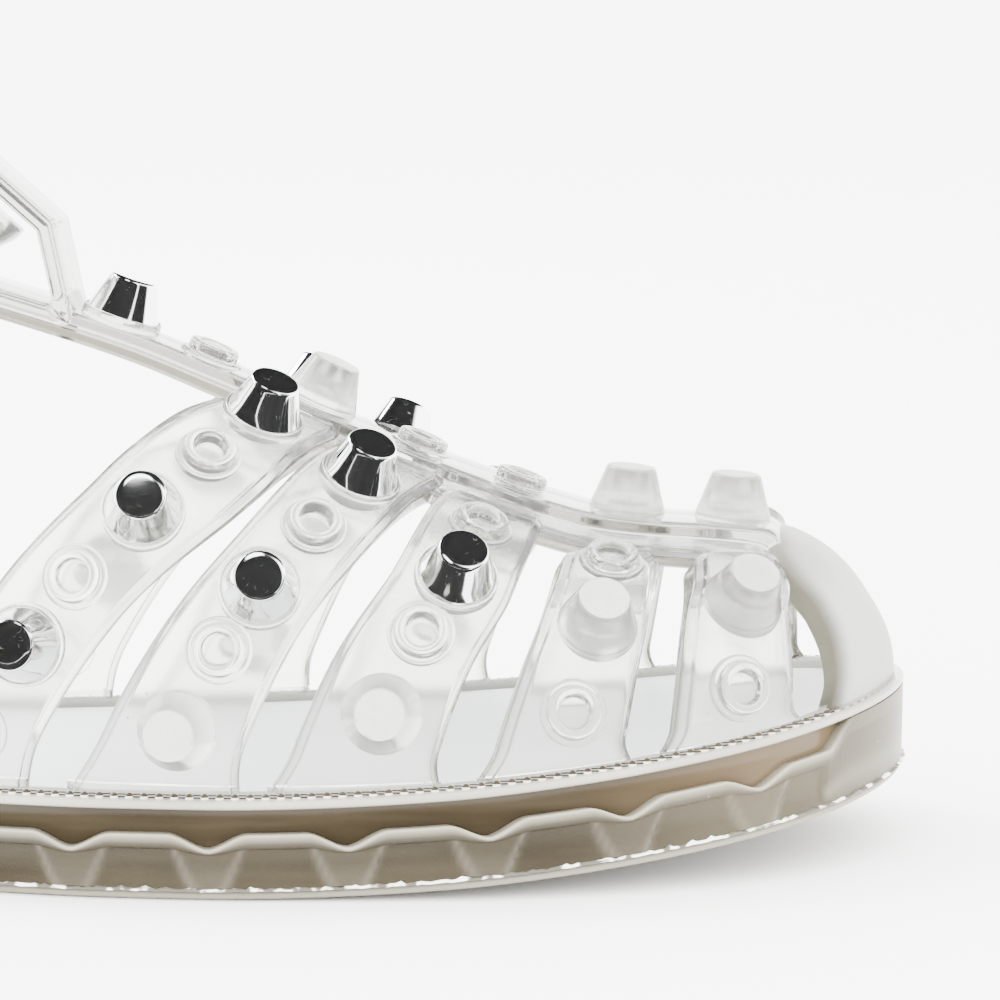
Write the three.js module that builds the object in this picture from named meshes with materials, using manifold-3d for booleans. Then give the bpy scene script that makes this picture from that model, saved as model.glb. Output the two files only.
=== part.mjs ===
// Clear moulded cage sandal for the right foot, size about 38, in millimetres with +Z up.
// +X runs from heel to toe, -Y is the lateral side and the floor is at Z = 0.
// The origin is on the floor under the middle of the length.
import * as THREE from 'three';
import { mergeVertices } from 'three/addons/utils/BufferGeometryUtils.js';
import Module from 'manifold-3d';

// Driving sizes of the last and the sole
const SHOE_LENGTH = 250;
const BALL_WIDTH = 89;
const RIM_HEIGHT = 14.5;
const HEEL_RISE = 6;
const TOE_SPRING = 10.5;
const TOE_SWING = 4;
const INSTEP_RISE = 68.5;
const ARCH_RISE = 2;
const GIRTH_POWER = 2.3;

// Walls and clearances
const STRAP_WALL = 2.3;
const FIT = 0.3;
const UPPER_INSET = 2.6;
const EDGE_BEVEL = 0.7;

// Upper
const FOOT_FLARE = 1.8;
const BAND_LIFT = 0.9;
const CAP_STEP = 1.1;
const RING_RISE = 1.2;
const SPINE_WIDTH = 15;
const SPINE_PLATE_WIDTH = 31;
const SPINE_STEP = 1.6;
const SPINE_TIP_WIDTH = 18;

// Studs and ring bosses
const STUD_BASE = 11.6;
const STUD_TOP = 7.2;
const STUD_HEIGHT = 7;
const STUD_FOOT = 1;
const STUD_SIDES = 10;
const BOSS_OUTER = 7.8;
const BOSS_HOLE = 4.9;
const BOSS_HEIGHT = 2.1;
const BOSS_EDGE = 0.3;
const BOSS_SIDES = 7;
const BOSS_ROOT = 1.2;

// Sole
const POCKET_DEPTH = 3.2;
const INSOLE_DROP = 0.6;
const RIM_LIP = 1.4;
const WALL_INSET = 1.6;
const TRAY_DEPTH = 7.7;
const LEDGE_DROP = 4.7;
const LEDGE_HEIGHT = 1.3;
const WAVE_DEPTH = 2.2;
const WAVES_A_SIDE = 13;
const PANEL_INSET = 0.9;
const LEDGE_PROUD = 0.2;
const FLASH_HEIGHT = 1.6;
const TREAD_INSET = 2;
const SIDE_STEPS = 26;
const GROOVE_WIDTH = 3;
const GROOVE_DEPTH = 1.2;
const GROOVE_LENGTH = 44;
// Shares of the length
const GROOVE_PITCH = 0.045;
const HEEL_GROOVE_AT = 0.07;
const BALL_GROOVE_AT = 0.475;

// Ankle strap, keeper and buckle
const ANKLE_WIDTH = 11;
const ANKLE_WALL = 2.4;
const KEEPER_WALL = 2.5;
const KEEPER_PLAY = 7;
const COLLAR_HALF_WIDTH = 32;
const BUCKLE_BAR = 2;
const BUCKLE_PLATE = 1.8;
const BUCKLE_LENGTH = 17;
const PRONG_WIDTH = 1.9;
const PRONG_WALL = 1.3;
const RIVET_SHANK = 3;
const RIVET_HEAD = 7;
const RIVET_HEAD_HEIGHT = 1.2;

const wasm = await Module();
wasm.setup();

const degrees = Math.PI / 180;
const lerp = (a, b, k) => a + (b - a) * k;
const clamp01 = (k) => Math.min(1, Math.max(0, k));
const smooth = (k) => clamp01(k) * clamp01(k) * (3 - 2 * clamp01(k));

// Half outline of the sole: at is the share of the length from the heel,
// lateral and medial are shares of the ball width from the centre line.
const OUTLINE = [
  { at: 0, lateral: 0, medial: 0 },
  { at: 0.012, lateral: 0.146, medial: 0.146 },
  { at: 0.04, lateral: 0.247, medial: 0.247 },
  { at: 0.1, lateral: 0.337, medial: 0.335 },
  { at: 0.2, lateral: 0.377, medial: 0.362 },
  { at: 0.34, lateral: 0.402, medial: 0.353 },
  { at: 0.44, lateral: 0.45, medial: 0.37 },
  { at: 0.54, lateral: 0.499, medial: 0.412 },
  { at: 0.64, lateral: 0.516, medial: 0.457 },
  { at: 0.74, lateral: 0.513, medial: 0.479 },
  { at: 0.82, lateral: 0.48, medial: 0.452 },
  { at: 0.88, lateral: 0.43, medial: 0.411 },
  { at: 0.928, lateral: 0.362, medial: 0.342 },
  { at: 0.964, lateral: 0.269, medial: 0.258 },
  { at: 0.988, lateral: 0.16, medial: 0.155 },
  { at: 1, lateral: 0, medial: 0 },
];

// Height of the last's ridge over the rim, as a share of the instep rise
const RIDGE = [
  { at: 0, rise: 0 },
  { at: 0.1, rise: 1.02 },
  { at: 0.3, rise: 1.14 },
  { at: 0.4, rise: 1.06 },
  { at: 0.455, rise: 1 },
  { at: 0.54, rise: 0.9 },
  { at: 0.588, rise: 0.828 },
  { at: 0.64, rise: 0.747 },
  { at: 0.7, rise: 0.642 },
  { at: 0.74, rise: 0.575 },
  { at: 0.78, rise: 0.511 },
  { at: 0.82, rise: 0.455 },
  { at: 0.86, rise: 0.42 },
  { at: 0.896, rise: 0.394 },
  { at: 0.928, rise: 0.362 },
  { at: 0.952, rise: 0.312 },
  { at: 0.972, rise: 0.24 },
  { at: 0.986, rise: 0.16 },
  { at: 1, rise: 0 },
];

// Bands of the cage, from toe to heel. foot, low, mid and top are the middle of the band as shares
// of the length at the rim, a quarter of the girth, half of it and its top end. The widths are shares
// of the length too, and end is the girth share at the top. On the medial side the top end lies
// further forward by medialShift, a share of the length.
const BANDS = [
  { name: 'a', foot: 0.903, low: 0.905, mid: 0.905, top: 0.9, footWide: 0.069, midWide: 0.058,
    topWide: 0.05, end: 0.76, medialShift: 0 },
  { name: 'b', foot: 0.802, low: 0.815, mid: 0.825, top: 0.829, footWide: 0.075, midWide: 0.059,
    topWide: 0.055, end: 0.74, medialShift: 0 },
  { name: 'c', foot: 0.687, low: 0.714, mid: 0.741, top: 0.759, footWide: 0.086, midWide: 0.068,
    topWide: 0.058, end: 0.88, medialShift: 0 },
  { name: 'd', foot: 0.57, low: 0.614, mid: 0.655, top: 0.7025, footWide: 0.088, midWide: 0.064,
    topWide: 0.06, end: 0.92, medialShift: 0.004 },
  { name: 'e', foot: 0.45, low: 0.513, mid: 0.575, top: 0.6425, footWide: 0.076, midWide: 0.078,
    topWide: 0.056, end: 0.94, medialShift: 0.012 },
];

// What stands on each band: at is the girth share from the rim, kind is chrome, clear or ring
const BAND_TRIMS = {
  a: [{ at: 0.16, kind: 'ring' }, { at: 0.49, kind: 'clear' }],
  b: [{ at: 0.15, kind: 'ring' }, { at: 0.42, kind: 'clear' }, { at: 0.66, kind: 'ring' }],
  c: [{ at: 0.14, kind: 'clear' }, { at: 0.33, kind: 'ring' }, { at: 0.5, kind: 'chrome' },
    { at: 0.69, kind: 'ring' }],
  d: [{ at: 0.085, kind: 'clear' }, { at: 0.22, kind: 'ring' }, { at: 0.35, kind: 'chrome' },
    { at: 0.53, kind: 'ring' }, { at: 0.71, kind: 'chrome' }],
  e: [{ at: 0.06, kind: 'ring' }, { at: 0.18, kind: 'chrome' }, { at: 0.295, kind: 'ring' },
    { at: 0.44, kind: 'chrome' }, { at: 0.62, kind: 'ring' }, { at: 0.79, kind: 'chrome' }],
};

// What stands on the centre strap: at is the share of the length
const SPINE_TRIMS = [
  { at: 0.526, kind: 'chrome' },
  { at: 0.58, kind: 'ring' },
  { at: 0.645, kind: 'clear' },
  { at: 0.706, kind: 'ring' },
  { at: 0.766, kind: 'ring' },
  { at: 0.832, kind: 'clear' },
  { at: 0.896, kind: 'clear' },
];

// Rear edge of the toe cap: girth share from the rim and share of the length
const CAP_EDGE = [
  { girth: 0, at: 0.955 },
  { girth: 0.15, at: 0.959 },
  { girth: 0.3, at: 0.957 },
  { girth: 0.5, at: 0.948 },
  { girth: 0.65, at: 0.932 },
  { girth: 0.82, at: 0.92 },
  { girth: 1, at: 0.915 },
];

// Heel counter: up is the share of the way from the rim to the collar's lower edge (2 is its upper
// edge), reach is the angle to each side of the heel
const COUNTER = [
  { up: 0, reach: 96 },
  { up: 0.22, reach: 76 },
  { up: 0.45, reach: 60 },
  { up: 0.7, reach: 50 },
  { up: 0.9, reach: 54 },
  { up: 1, reach: 66 },
  { up: 1.3, reach: 85.5 },
  { up: 1.7, reach: 85.5 },
  { up: 2, reach: 85.5 },
];

// Monotone cubic curve through the rows of a table
function curve(rows, key, value) {
  const n = rows.length;
  const xs = rows.map((row) => row[key]);
  const ys = rows.map((row) => row[value]);
  const step = (k) => (ys[k + 1] - ys[k]) / (xs[k + 1] - xs[k]);
  const slopes = xs.map((_, k) => {
    if (k === 0) return step(0);
    if (k === n - 1) return step(n - 2);
    const before = step(k - 1);
    const after = step(k);
    return before * after <= 0 ? 0 : (2 * before * after) / (before + after);
  });
  return (x) => {
    let k = 0;
    while (k < n - 2 && x > xs[k + 1]) k += 1;
    const h = xs[k + 1] - xs[k];
    const u = clamp01((x - xs[k]) / h);
    const v = 1 - u;
    return ys[k] * v * v * (1 + 2 * u) + slopes[k] * h * u * v * v
      + ys[k + 1] * u * u * (3 - 2 * u) - slopes[k + 1] * h * u * u * v;
  };
}

// The ends of the foot are round, so its tables are read over an angle that runs from heel to toe
const turnOf = (share) => Math.acos(1 - 2 * clamp01(share));
const byTurn = (rows) => rows.map((row) => ({ ...row, turn: turnOf(row.at) }));
const lateralShare = curve(byTurn(OUTLINE), 'turn', 'lateral');
const medialShare = curve(byTurn(OUTLINE), 'turn', 'medial');
const ridgeShare = curve(byTurn(RIDGE), 'turn', 'rise');

// Here x is measured from the heel, and the origin is moved to the middle at the end
const centreY = (x) => TOE_SWING * smooth((x / SHOE_LENGTH - 0.52) / 0.48);
const heelLift = (x) => HEEL_RISE * (1 - smooth((x / SHOE_LENGTH - 0.16) / 0.26));
const springFrom = (x, share) => TOE_SPRING * Math.max(0, (x / SHOE_LENGTH - share) / 0.4) ** 2;
const rimZ = (x) => RIM_HEIGHT + heelLift(x) + springFrom(x, 0.6);
const archLift = (x) => {
  const share = x / SHOE_LENGTH;
  return ARCH_RISE * smooth((share - 0.25) / 0.05) * (1 - smooth((share - 0.38) / 0.06));
};
const treadZ = (x) => archLift(x) + springFrom(x, 0.59) * 0.95;

// Point of the outline at a turn (0 heel, PI toe), drawn in from the sole's edge
function outlinePoint(turn, side, inset) {
  const x = SHOE_LENGTH / 2 - (SHOE_LENGTH / 2 - inset) * Math.cos(turn);
  const share = side < 0 ? lateralShare(turn) : medialShare(turn);
  const half = share * BALL_WIDTH - inset * Math.sin(turn);
  return { x, y: centreY(x) + side * half };
}

const upperTurn = (x) => turnOf((x - UPPER_INSET) / (SHOE_LENGTH - 2 * UPPER_INSET));

// Point of the last at a turn. girth runs from 0 at the lateral rim over 1 at the ridge to 2 at the
// medial rim, and out is the distance outside the bands' outer face.
function lastAtTurn(turn, girth, out) {
  const side = girth <= 1 ? -1 : 1;
  const { x, y } = outlinePoint(turn, side, UPPER_INSET - out);
  const middle = centreY(x);
  const angle = girth * 90 * degrees;
  const across = Math.abs(Math.cos(angle)) ** (2 / GIRTH_POWER);
  const high = Math.abs(Math.sin(angle)) ** (2 / GIRTH_POWER);
  const rise = Math.max(0, ridgeShare(turn) * INSTEP_RISE + out);
  return new THREE.Vector3(x, lerp(middle, y, across), rimZ(x) + rise * high);
}

const lastPoint = (x, girth, out) => lastAtTurn(upperTurn(x), girth, out);

// Girth share of a point of the last at a distance from its ridge
function girthAt(x, offset) {
  const { y } = outlinePoint(upperTurn(x), offset < 0 ? -1 : 1, UPPER_INSET);
  const across = Math.min(1, Math.abs(offset) / Math.abs(y - centreY(x)));
  const angle = Math.acos(across ** (GIRTH_POWER / 2)) / (90 * degrees);
  return offset < 0 ? angle : 2 - angle;
}

// Position and outward direction on the last
function lastFrame(x, girth, out) {
  const eps = 0.01;
  const point = lastPoint(x, girth, out);
  const step = eps * SHOE_LENGTH;
  const alongX = lastPoint(x + step, girth, out).sub(lastPoint(x - step, girth, out));
  const alongGirth = lastPoint(x, girth + eps, out).sub(lastPoint(x, girth - eps, out));
  return { point, normal: new THREE.Vector3().crossVectors(alongX, alongGirth).normalize() };
}

// Mesh helpers
function meshSolid(points, triangles) {
  const raw = new THREE.BufferGeometry();
  raw.setAttribute('position', new THREE.Float32BufferAttribute(points.flatMap((p) => [p.x, p.y, p.z]), 3));
  raw.setIndex(triangles.flat());
  return toSolid(raw);
}

function toSolid(geometry) {
  const bare = geometry.clone();
  bare.deleteAttribute('normal');
  bare.deleteAttribute('uv');
  const merged = mergeVertices(bare, 1e-4);
  const index = [];
  for (let k = 0; k < merged.index.count; k += 3) {
    const [a, b, c] = [merged.index.getX(k), merged.index.getX(k + 1), merged.index.getX(k + 2)];
    if (a !== b && b !== c && c !== a) index.push(a, b, c);
  }
  return new wasm.Manifold(new wasm.Mesh({
    numProp: 3,
    vertProperties: new Float32Array(merged.attributes.position.array),
    triVerts: new Uint32Array(index),
  }));
}

function toGeometry(solid) {
  const mesh = solid.getMesh();
  const geometry = new THREE.BufferGeometry();
  geometry.setAttribute('position', new THREE.BufferAttribute(new Float32Array(mesh.vertProperties), 3));
  geometry.setIndex(new THREE.BufferAttribute(new Uint32Array(mesh.triVerts), 1));
  geometry.computeVertexNormals();
  return geometry;
}

const union = (solids) => solids.reduce((all, one) => all.add(one));

// Closed slab between two grids of points: outer(i, j) and inner(i, j)
function slab(rows, columns, outer, inner) {
  const points = [];
  for (const face of [outer, inner]) {
    for (let i = 0; i <= rows; i += 1) {
      for (let j = 0; j <= columns; j += 1) points.push(face(i / rows, j / columns));
    }
  }
  const at = (face, i, j) => (face * (rows + 1) + i) * (columns + 1) + j;
  const triangles = [];
  const quad = (a, b, c, d) => triangles.push([a, b, c], [a, c, d]);
  for (let i = 0; i < rows; i += 1) {
    for (let j = 0; j < columns; j += 1) {
      quad(at(0, i, j), at(0, i, j + 1), at(0, i + 1, j + 1), at(0, i + 1, j));
      quad(at(1, i, j), at(1, i + 1, j), at(1, i + 1, j + 1), at(1, i, j + 1));
    }
    quad(at(0, i, 0), at(0, i + 1, 0), at(1, i + 1, 0), at(1, i, 0));
    quad(at(0, i, columns), at(1, i, columns), at(1, i + 1, columns), at(0, i + 1, columns));
  }
  for (let j = 0; j < columns; j += 1) {
    quad(at(0, 0, j), at(1, 0, j), at(1, 0, j + 1), at(0, 0, j + 1));
    quad(at(0, rows, j), at(0, rows, j + 1), at(1, rows, j + 1), at(1, rows, j));
  }
  return outwards(points, triangles);
}

// Closed solid from rings of points, each ring with the same count, and capped by pairing its halves
function stack(rings) {
  const count = rings[0].length;
  const points = rings.flat();
  const triangles = [];
  for (let level = 0; level < rings.length - 1; level += 1) {
    for (let k = 0; k < count; k += 1) {
      const next = (k + 1) % count;
      const [a, b] = [level * count + k, level * count + next];
      triangles.push([a, b, b + count], [a, b + count, a + count]);
    }
  }
  const cap = (start, flip) => {
    for (let k = 0; k < count / 2; k += 1) {
      const left = [start + k, start + k + 1];
      const right = [start + ((count - k) % count), start + count - k - 1];
      const faces = [[left[0], right[0], right[1]], [left[0], right[1], left[1]]];
      faces.forEach(([a, b, c]) => triangles.push(flip ? [a, c, b] : [a, b, c]));
    }
  };
  cap(0, false);
  cap((rings.length - 1) * count, true);
  return outwards(points, triangles);
}

// Turns the faces of a closed mesh outwards
function outwards(points, triangles) {
  const volume = triangles.reduce((sum, [a, b, c]) => {
    const cross = new THREE.Vector3().crossVectors(points[b], points[c]);
    return sum + points[a].dot(cross);
  }, 0);
  const turned = volume < 0 ? triangles.map(([a, b, c]) => [a, c, b]) : triangles;
  return meshSolid(points, turned);
}

// Places a geometry whose axis is +Z on a frame
function placed(geometry, frame, up = 0) {
  const turn = new THREE.Quaternion().setFromUnitVectors(new THREE.Vector3(0, 0, 1), frame.normal);
  const spot = frame.point.clone().addScaledVector(frame.normal, up);
  return geometry.clone().applyMatrix4(new THREE.Matrix4().compose(spot, turn, new THREE.Vector3(1, 1, 1)));
}

const lathe = (profile, segments) => {
  const shape = new THREE.LatheGeometry(profile.map(([r, z]) => new THREE.Vector2(r, z)), segments);
  return shape.rotateX(Math.PI / 2);
};

// Studs, collars and ring bosses, each along +Z from the strap's face at 0
function studGeometry(base) {
  const [foot, top] = [STUD_BASE / 2, STUD_TOP / 2];
  return lathe([[0, base], [foot, base], [foot, STUD_FOOT], [top, STUD_HEIGHT], [0, STUD_HEIGHT]], STUD_SIDES);
}

const bossGeometry = () => {
  const [outer, hole] = [BOSS_OUTER / 2, BOSS_HOLE / 2];
  return lathe([[hole, -BOSS_ROOT / 2], [outer, -BOSS_ROOT / 2], [outer - BOSS_EDGE, BOSS_HEIGHT],
    [hole + BOSS_EDGE, BOSS_HEIGHT], [hole, -BOSS_ROOT / 2]], BOSS_SIDES);
};

// Cage band on one side
function bandMiddle(band, side) {
  const shift = side > 0 ? band.medialShift : 0;
  const knots = [
    { girth: 0, x: band.foot },
    { girth: 0.25, x: band.low },
    { girth: 0.5, x: band.mid + shift / 2 },
    { girth: band.end, x: band.top + shift },
  ];
  const share = curve(knots, 'girth', 'x');
  return (girth) => share(girth) * SHOE_LENGTH;
}

function bandWidth(band) {
  const knots = [
    { girth: 0, wide: band.footWide },
    { girth: 0.5, wide: band.midWide },
    { girth: band.end, wide: band.topWide },
  ];
  const share = curve(knots, 'girth', 'wide');
  return (girth) => share(girth) * SHOE_LENGTH;
}

// The bands rise a little where they lie on the centre strap
const bandLift = (row, girth) => BAND_LIFT * smooth((girth / row.end - 0.62) / 0.18);

const sideGirth = (girth, side) => (side < 0 ? girth : 2 - girth);

function band(row, side) {
  const middle = bandMiddle(row, side);
  const width = bandWidth(row);
  const roundFrom = 0.9;
  const across = (u, v) => {
    const girth = lerp(-0.012, row.end, v);
    const flare = FOOT_FLARE * (1 - clamp01(girth / 0.07)) ** 2;
    const corner = clamp01((v - roundFrom) / (1 - roundFrom));
    const narrow = 1 - 0.45 * (1 - Math.sqrt(1 - corner * corner));
    const half = (width(girth) / 2 + flare) * narrow;
    const x = middle(girth) + half * (2 * u - 1);
    return { x: Math.min(x, SHOE_LENGTH - UPPER_INSET), girth };
  };
  const at = (u, v, out) => {
    const { x, girth } = across(u, v);
    return lastPoint(x, sideGirth(girth, side), out);
  };
  const shares = [0, 0.06, 0.5, 0.94, 1];
  const outer = (v, j) => {
    const k = Math.round(j * (shares.length - 1));
    const edge = k === 0 || k === shares.length - 1 ? EDGE_BEVEL : 0;
    return at(shares[k], v, bandLift(row, across(0, v).girth) - edge);
  };
  const inner = (v, j) => at(shares[Math.round(j * (shares.length - 1))], v, -STRAP_WALL);
  return slab(8, shares.length - 1, outer, inner);
}

// Centre strap: a plate that widens over the toes, with a raised strip along its middle
function spine() {
  const from = 0.393 * SHOE_LENGTH;
  const to = 0.94 * SHOE_LENGTH;
  const plateHalf = (x) => {
    const wide = smooth((x / SHOE_LENGTH - 0.6) / 0.16);
    return lerp(SPINE_WIDTH, SPINE_PLATE_WIDTH, wide) / 2;
  };
  const stripHalf = (x) => lerp(SPINE_WIDTH, SPINE_TIP_WIDTH, smooth((x / SHOE_LENGTH - 0.6) / 0.2)) / 2;
  const columns = (x) => {
    const [plate, strip] = [plateHalf(x), Math.min(stripHalf(x), plateHalf(x) - 0.6)];
    return [-plate, -strip, -strip + 0.7, strip - 0.7, strip, plate];
  };
  const at = (x, k, out) => lastPoint(x, girthAt(x, columns(x)[k]), out);
  const outer = (i, j) => {
    const k = Math.round(j * 5);
    const x = lerp(from, to, i);
    return at(x, k, k === 2 || k === 3 ? SPINE_STEP : 0);
  };
  const inner = (i, j) => at(lerp(from, to, i), Math.round(j * 5), -STRAP_WALL);
  return slab(15, 5, outer, inner);
}

// Keeper loop that stands on the upper end of the centre strap, as an outline in X and Z
function keeper() {
  const base = lastPoint(0.505 * SHOE_LENGTH, 1, 0);
  const rear = lastPoint(0.398 * SHOE_LENGTH, 1, 0);
  const loop = ANKLE_WIDTH + 2 * KEEPER_WALL + KEEPER_PLAY;
  const slope = 42 * degrees;
  const front = new THREE.Vector2(base.x - 3.2, base.z + 15.2);
  const back = new THREE.Vector2(front.x - loop * Math.cos(slope), front.y + loop * Math.sin(slope));
  const corners = [
    new THREE.Vector2(base.x, base.z - 1),
    front,
    back,
    new THREE.Vector2(rear.x, rear.z - 1),
  ];
  const shape = new THREE.Shape(corners);
  shape.holes.push(new THREE.Path(insetPolygon(corners, KEEPER_WALL).reverse()));
  const solid = new THREE.ExtrudeGeometry(shape, { depth: SPINE_WIDTH, bevelEnabled: false, steps: 1 });
  solid.rotateX(Math.PI / 2).translate(0, SPINE_WIDTH / 2, 0);
  return toSolid(solid);
}

// Polygon drawn in by an even distance
function insetPolygon(corners, distance) {
  const n = corners.length;
  const area = corners.reduce((sum, p, k) => sum + p.cross(corners[(k + 1) % n]), 0);
  const turn = Math.sign(area);
  const lines = corners.map((p, k) => {
    const along = corners[(k + 1) % n].clone().sub(p).normalize();
    const normal = new THREE.Vector2(-along.y, along.x).multiplyScalar(turn * distance);
    return { point: p.clone().add(normal), along };
  });
  return lines.map((line, k) => {
    const before = lines[(k + n - 1) % n];
    const gap = line.point.clone().sub(before.point);
    const reach = gap.cross(line.along) / before.along.cross(line.along);
    return before.point.clone().addScaledVector(before.along, reach);
  });
}

function toeCap() {
  const edge = curve(CAP_EDGE, 'girth', 'at');
  const at = (i, j, out) => {
    const girth = 2 * j;
    const start = upperTurn(edge(Math.min(girth, 2 - girth)) * SHOE_LENGTH);
    const point = lastAtTurn(lerp(start, Math.PI, i), girth, out);
    point.z = Math.max(point.z, rimZ(point.x) + FIT);
    return point;
  };
  return slab(6, 12, (i, j) => at(i, j, CAP_STEP * Math.min(1, 6 * i + 0.4)), (i, j) => at(i, j, -STRAP_WALL));
}

// Ring around the foot of the cage, whose flange sits in the sole's pocket
function footRing() {
  const columns = evenColumns();
  const ring = (inset, z) => soleRing(columns, () => ({ inset, z }));
  const bottom = (x) => rimZ(x) - POCKET_DEPTH + FIT;
  const top = (x) => rimZ(x) + RING_RISE;
  const inner = UPPER_INSET + STRAP_WALL;
  const rings = [ring(UPPER_INSET, bottom), ring(UPPER_INSET, top), ring(inner, top), ring(inner, bottom)];
  return loopOf(rings);
}

// Closed tube through rings of points, the last joined to the first
function loopOf(rings) {
  const count = rings[0].length;
  const points = rings.flat();
  const triangles = [];
  for (let level = 0; level < rings.length; level += 1) {
    const above = (level + 1) % rings.length;
    for (let k = 0; k < count; k += 1) {
      const next = (k + 1) % count;
      const [a, b, c, d] = [level * count + k, level * count + next, above * count + next, above * count + k];
      triangles.push([a, b, c], [a, c, d]);
    }
  }
  return outwards(points, triangles);
}

// Collar line around the ankle: 0 degrees is the heel, 180 the front
const COLLAR_FRONT = 0.455 * SHOE_LENGTH;
const COLLAR_BACK = 0.029 * SHOE_LENGTH;
const COLLAR_MIDDLE = (COLLAR_FRONT + COLLAR_BACK) / 2;
const COLLAR_REACH = (COLLAR_FRONT - COLLAR_BACK) / 2;

function collarZ(angle) {
  const k = 1 - Math.cos(angle * degrees);
  return RIM_HEIGHT + INSTEP_RISE * (0.83 + 0.1 * k + 0.0375 * k * k);
}

function collarPoint(angle, side, out) {
  const x = COLLAR_MIDDLE - (COLLAR_REACH + out) * Math.cos(angle * degrees);
  const y = side * (COLLAR_HALF_WIDTH + out) * Math.sin(angle * degrees);
  return new THREE.Vector3(x, y, collarZ(angle));
}

// Directions on the collar line: along it, across its width and out of the foot
function collarFrame(angle, side, out) {
  const eps = 0.5;
  const along = collarPoint(angle + eps, side, out).sub(collarPoint(angle - eps, side, out)).normalize();
  const lean = smooth((angle - 105) / 75);
  const wide = new THREE.Vector3(lerp(-0.1, -0.743, lean), 0, lerp(0.995, 0.669, lean));
  const outward = new THREE.Vector3().crossVectors(along, wide).multiplyScalar(-side).normalize();
  const across = new THREE.Vector3().crossVectors(outward, along).multiplyScalar(-side).normalize();
  return { point: collarPoint(angle, side, out), along, across, outward };
}

function heelCounter() {
  const reach = curve(COUNTER.map((row, k) => ({ ...row, step: k / (COUNTER.length - 1) })), 'step', 'reach');
  const up = curve(COUNTER.map((row, k) => ({ ...row, step: k / (COUNTER.length - 1) })), 'step', 'up');
  const at = (i, j, out) => {
    const side = j < 0.5 ? -1 : 1;
    const angle = Math.abs(2 * j - 1) * reach(i);
    const level = up(i);
    const collar = collarPoint(angle, side, out);
    const start = UPPER_INSET - out;
    const x = collar.x - COLLAR_BACK + UPPER_INSET;
    const turn = turnOf((x - start) / (SHOE_LENGTH - 2 * start));
    const foot = outlinePoint(turn, side, start);
    const lower = Math.min(level, 1);
    const k = smooth(lower);
    const edge = collar.z - ANKLE_WIDTH / 2 + Math.max(0, level - 1) * ANKLE_WIDTH;
    const z = level > 1 ? edge : lerp(rimZ(x) + FIT / 2, edge, lower);
    return new THREE.Vector3(lerp(foot.x, collar.x, k), lerp(foot.y, collar.y, k), z);
  };
  return slab(8, 12, (i, j) => at(i, j, 0), (i, j) => at(i, j, -STRAP_WALL));
}

// Buckle place on the lateral side of the collar
const HINGE_ANGLE = 86.5;
const HINGE_OUT = -STRAP_WALL / 2;
const barrelRadius = BUCKLE_BAR / 2 + FIT * 2 + 1.1;

function buckleFrame() {
  const hinge = collarFrame(HINGE_ANGLE, -1, HINGE_OUT);
  const tilt = 10 * degrees;
  const along = hinge.along.clone().multiplyScalar(Math.cos(tilt)).addScaledVector(hinge.outward, Math.sin(tilt));
  const across = hinge.across;
  const outward = new THREE.Vector3().crossVectors(along, across).normalize();
  if (outward.dot(hinge.outward) < 0) outward.negate();
  return { point: hinge.point, along, across, outward };
}

// Moves a geometry built with x along, y across and z out onto a frame
function onFrame(geometry, frame) {
  const right = new THREE.Vector3().crossVectors(frame.along, frame.across).dot(frame.outward) > 0;
  const across = right ? frame.across : frame.across.clone().negate();
  const basis = new THREE.Matrix4().makeBasis(frame.along, across, frame.outward).setPosition(frame.point);
  return geometry.clone().applyMatrix4(basis);
}

const box = (sx, sy, sz, x, y, z) => new THREE.BoxGeometry(sx, sy, sz).translate(x, y, z);

const barrelGeometry = (length, y, radius) => (
  new THREE.CylinderGeometry(radius, radius, length, 14).translate(0, y, 0)
);

function trimList() {
  const list = [];
  for (const row of BANDS) {
    for (const side of [-1, 1]) {
      const middle = bandMiddle(row, side);
      BAND_TRIMS[row.name].forEach((trim, k) => {
        const frame = lastFrame(middle(trim.at), sideGirth(trim.at, side), 0);
        const hand = side < 0 ? 'lateral' : 'medial';
        list.push({ ...trim, frame, name: `stud_${row.name}_${hand}_${k + 1}`, lift: bandLift(row, trim.at) });
      });
    }
  }
  SPINE_TRIMS.forEach((trim, k) => {
    const frame = lastFrame(trim.at * SHOE_LENGTH, 1, 0);
    list.push({ ...trim, frame, name: `stud_centre_${k + 1}`, lift: SPINE_STEP });
  });
  return list;
}

const TRIMS = trimList();

function upper() {
  const parts = [footRing(), spine(), toeCap(), heelCounter(), keeper()];
  for (const row of BANDS) parts.push(band(row, -1), band(row, 1));
  const hingeFrame = collarFrame(HINGE_ANGLE, -1, HINGE_OUT);
  parts.push(toSolid(onFrame(barrelGeometry(ANKLE_WIDTH, 0, barrelRadius), hingeFrame)));
  for (const trim of TRIMS) {
    const seat = trim.lift;
    if (trim.kind === 'clear') parts.push(toSolid(placed(studGeometry(-BOSS_ROOT), trim.frame, seat)));
    if (trim.kind === 'ring') parts.push(toSolid(placed(bossGeometry(), trim.frame, seat)));
  }
  const bore = toSolid(onFrame(barrelGeometry(ANKLE_WIDTH * 2, 0, BUCKLE_BAR / 2 + FIT * 2), hingeFrame));
  const prongGap = toSolid(onFrame(box(barrelRadius * 3, PRONG_WIDTH + 2 * FIT, barrelRadius * 3, 0, 0, 0), hingeFrame));
  return union(parts).subtract(bore).subtract(prongGap).subtract(rivetBore());
}

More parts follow.
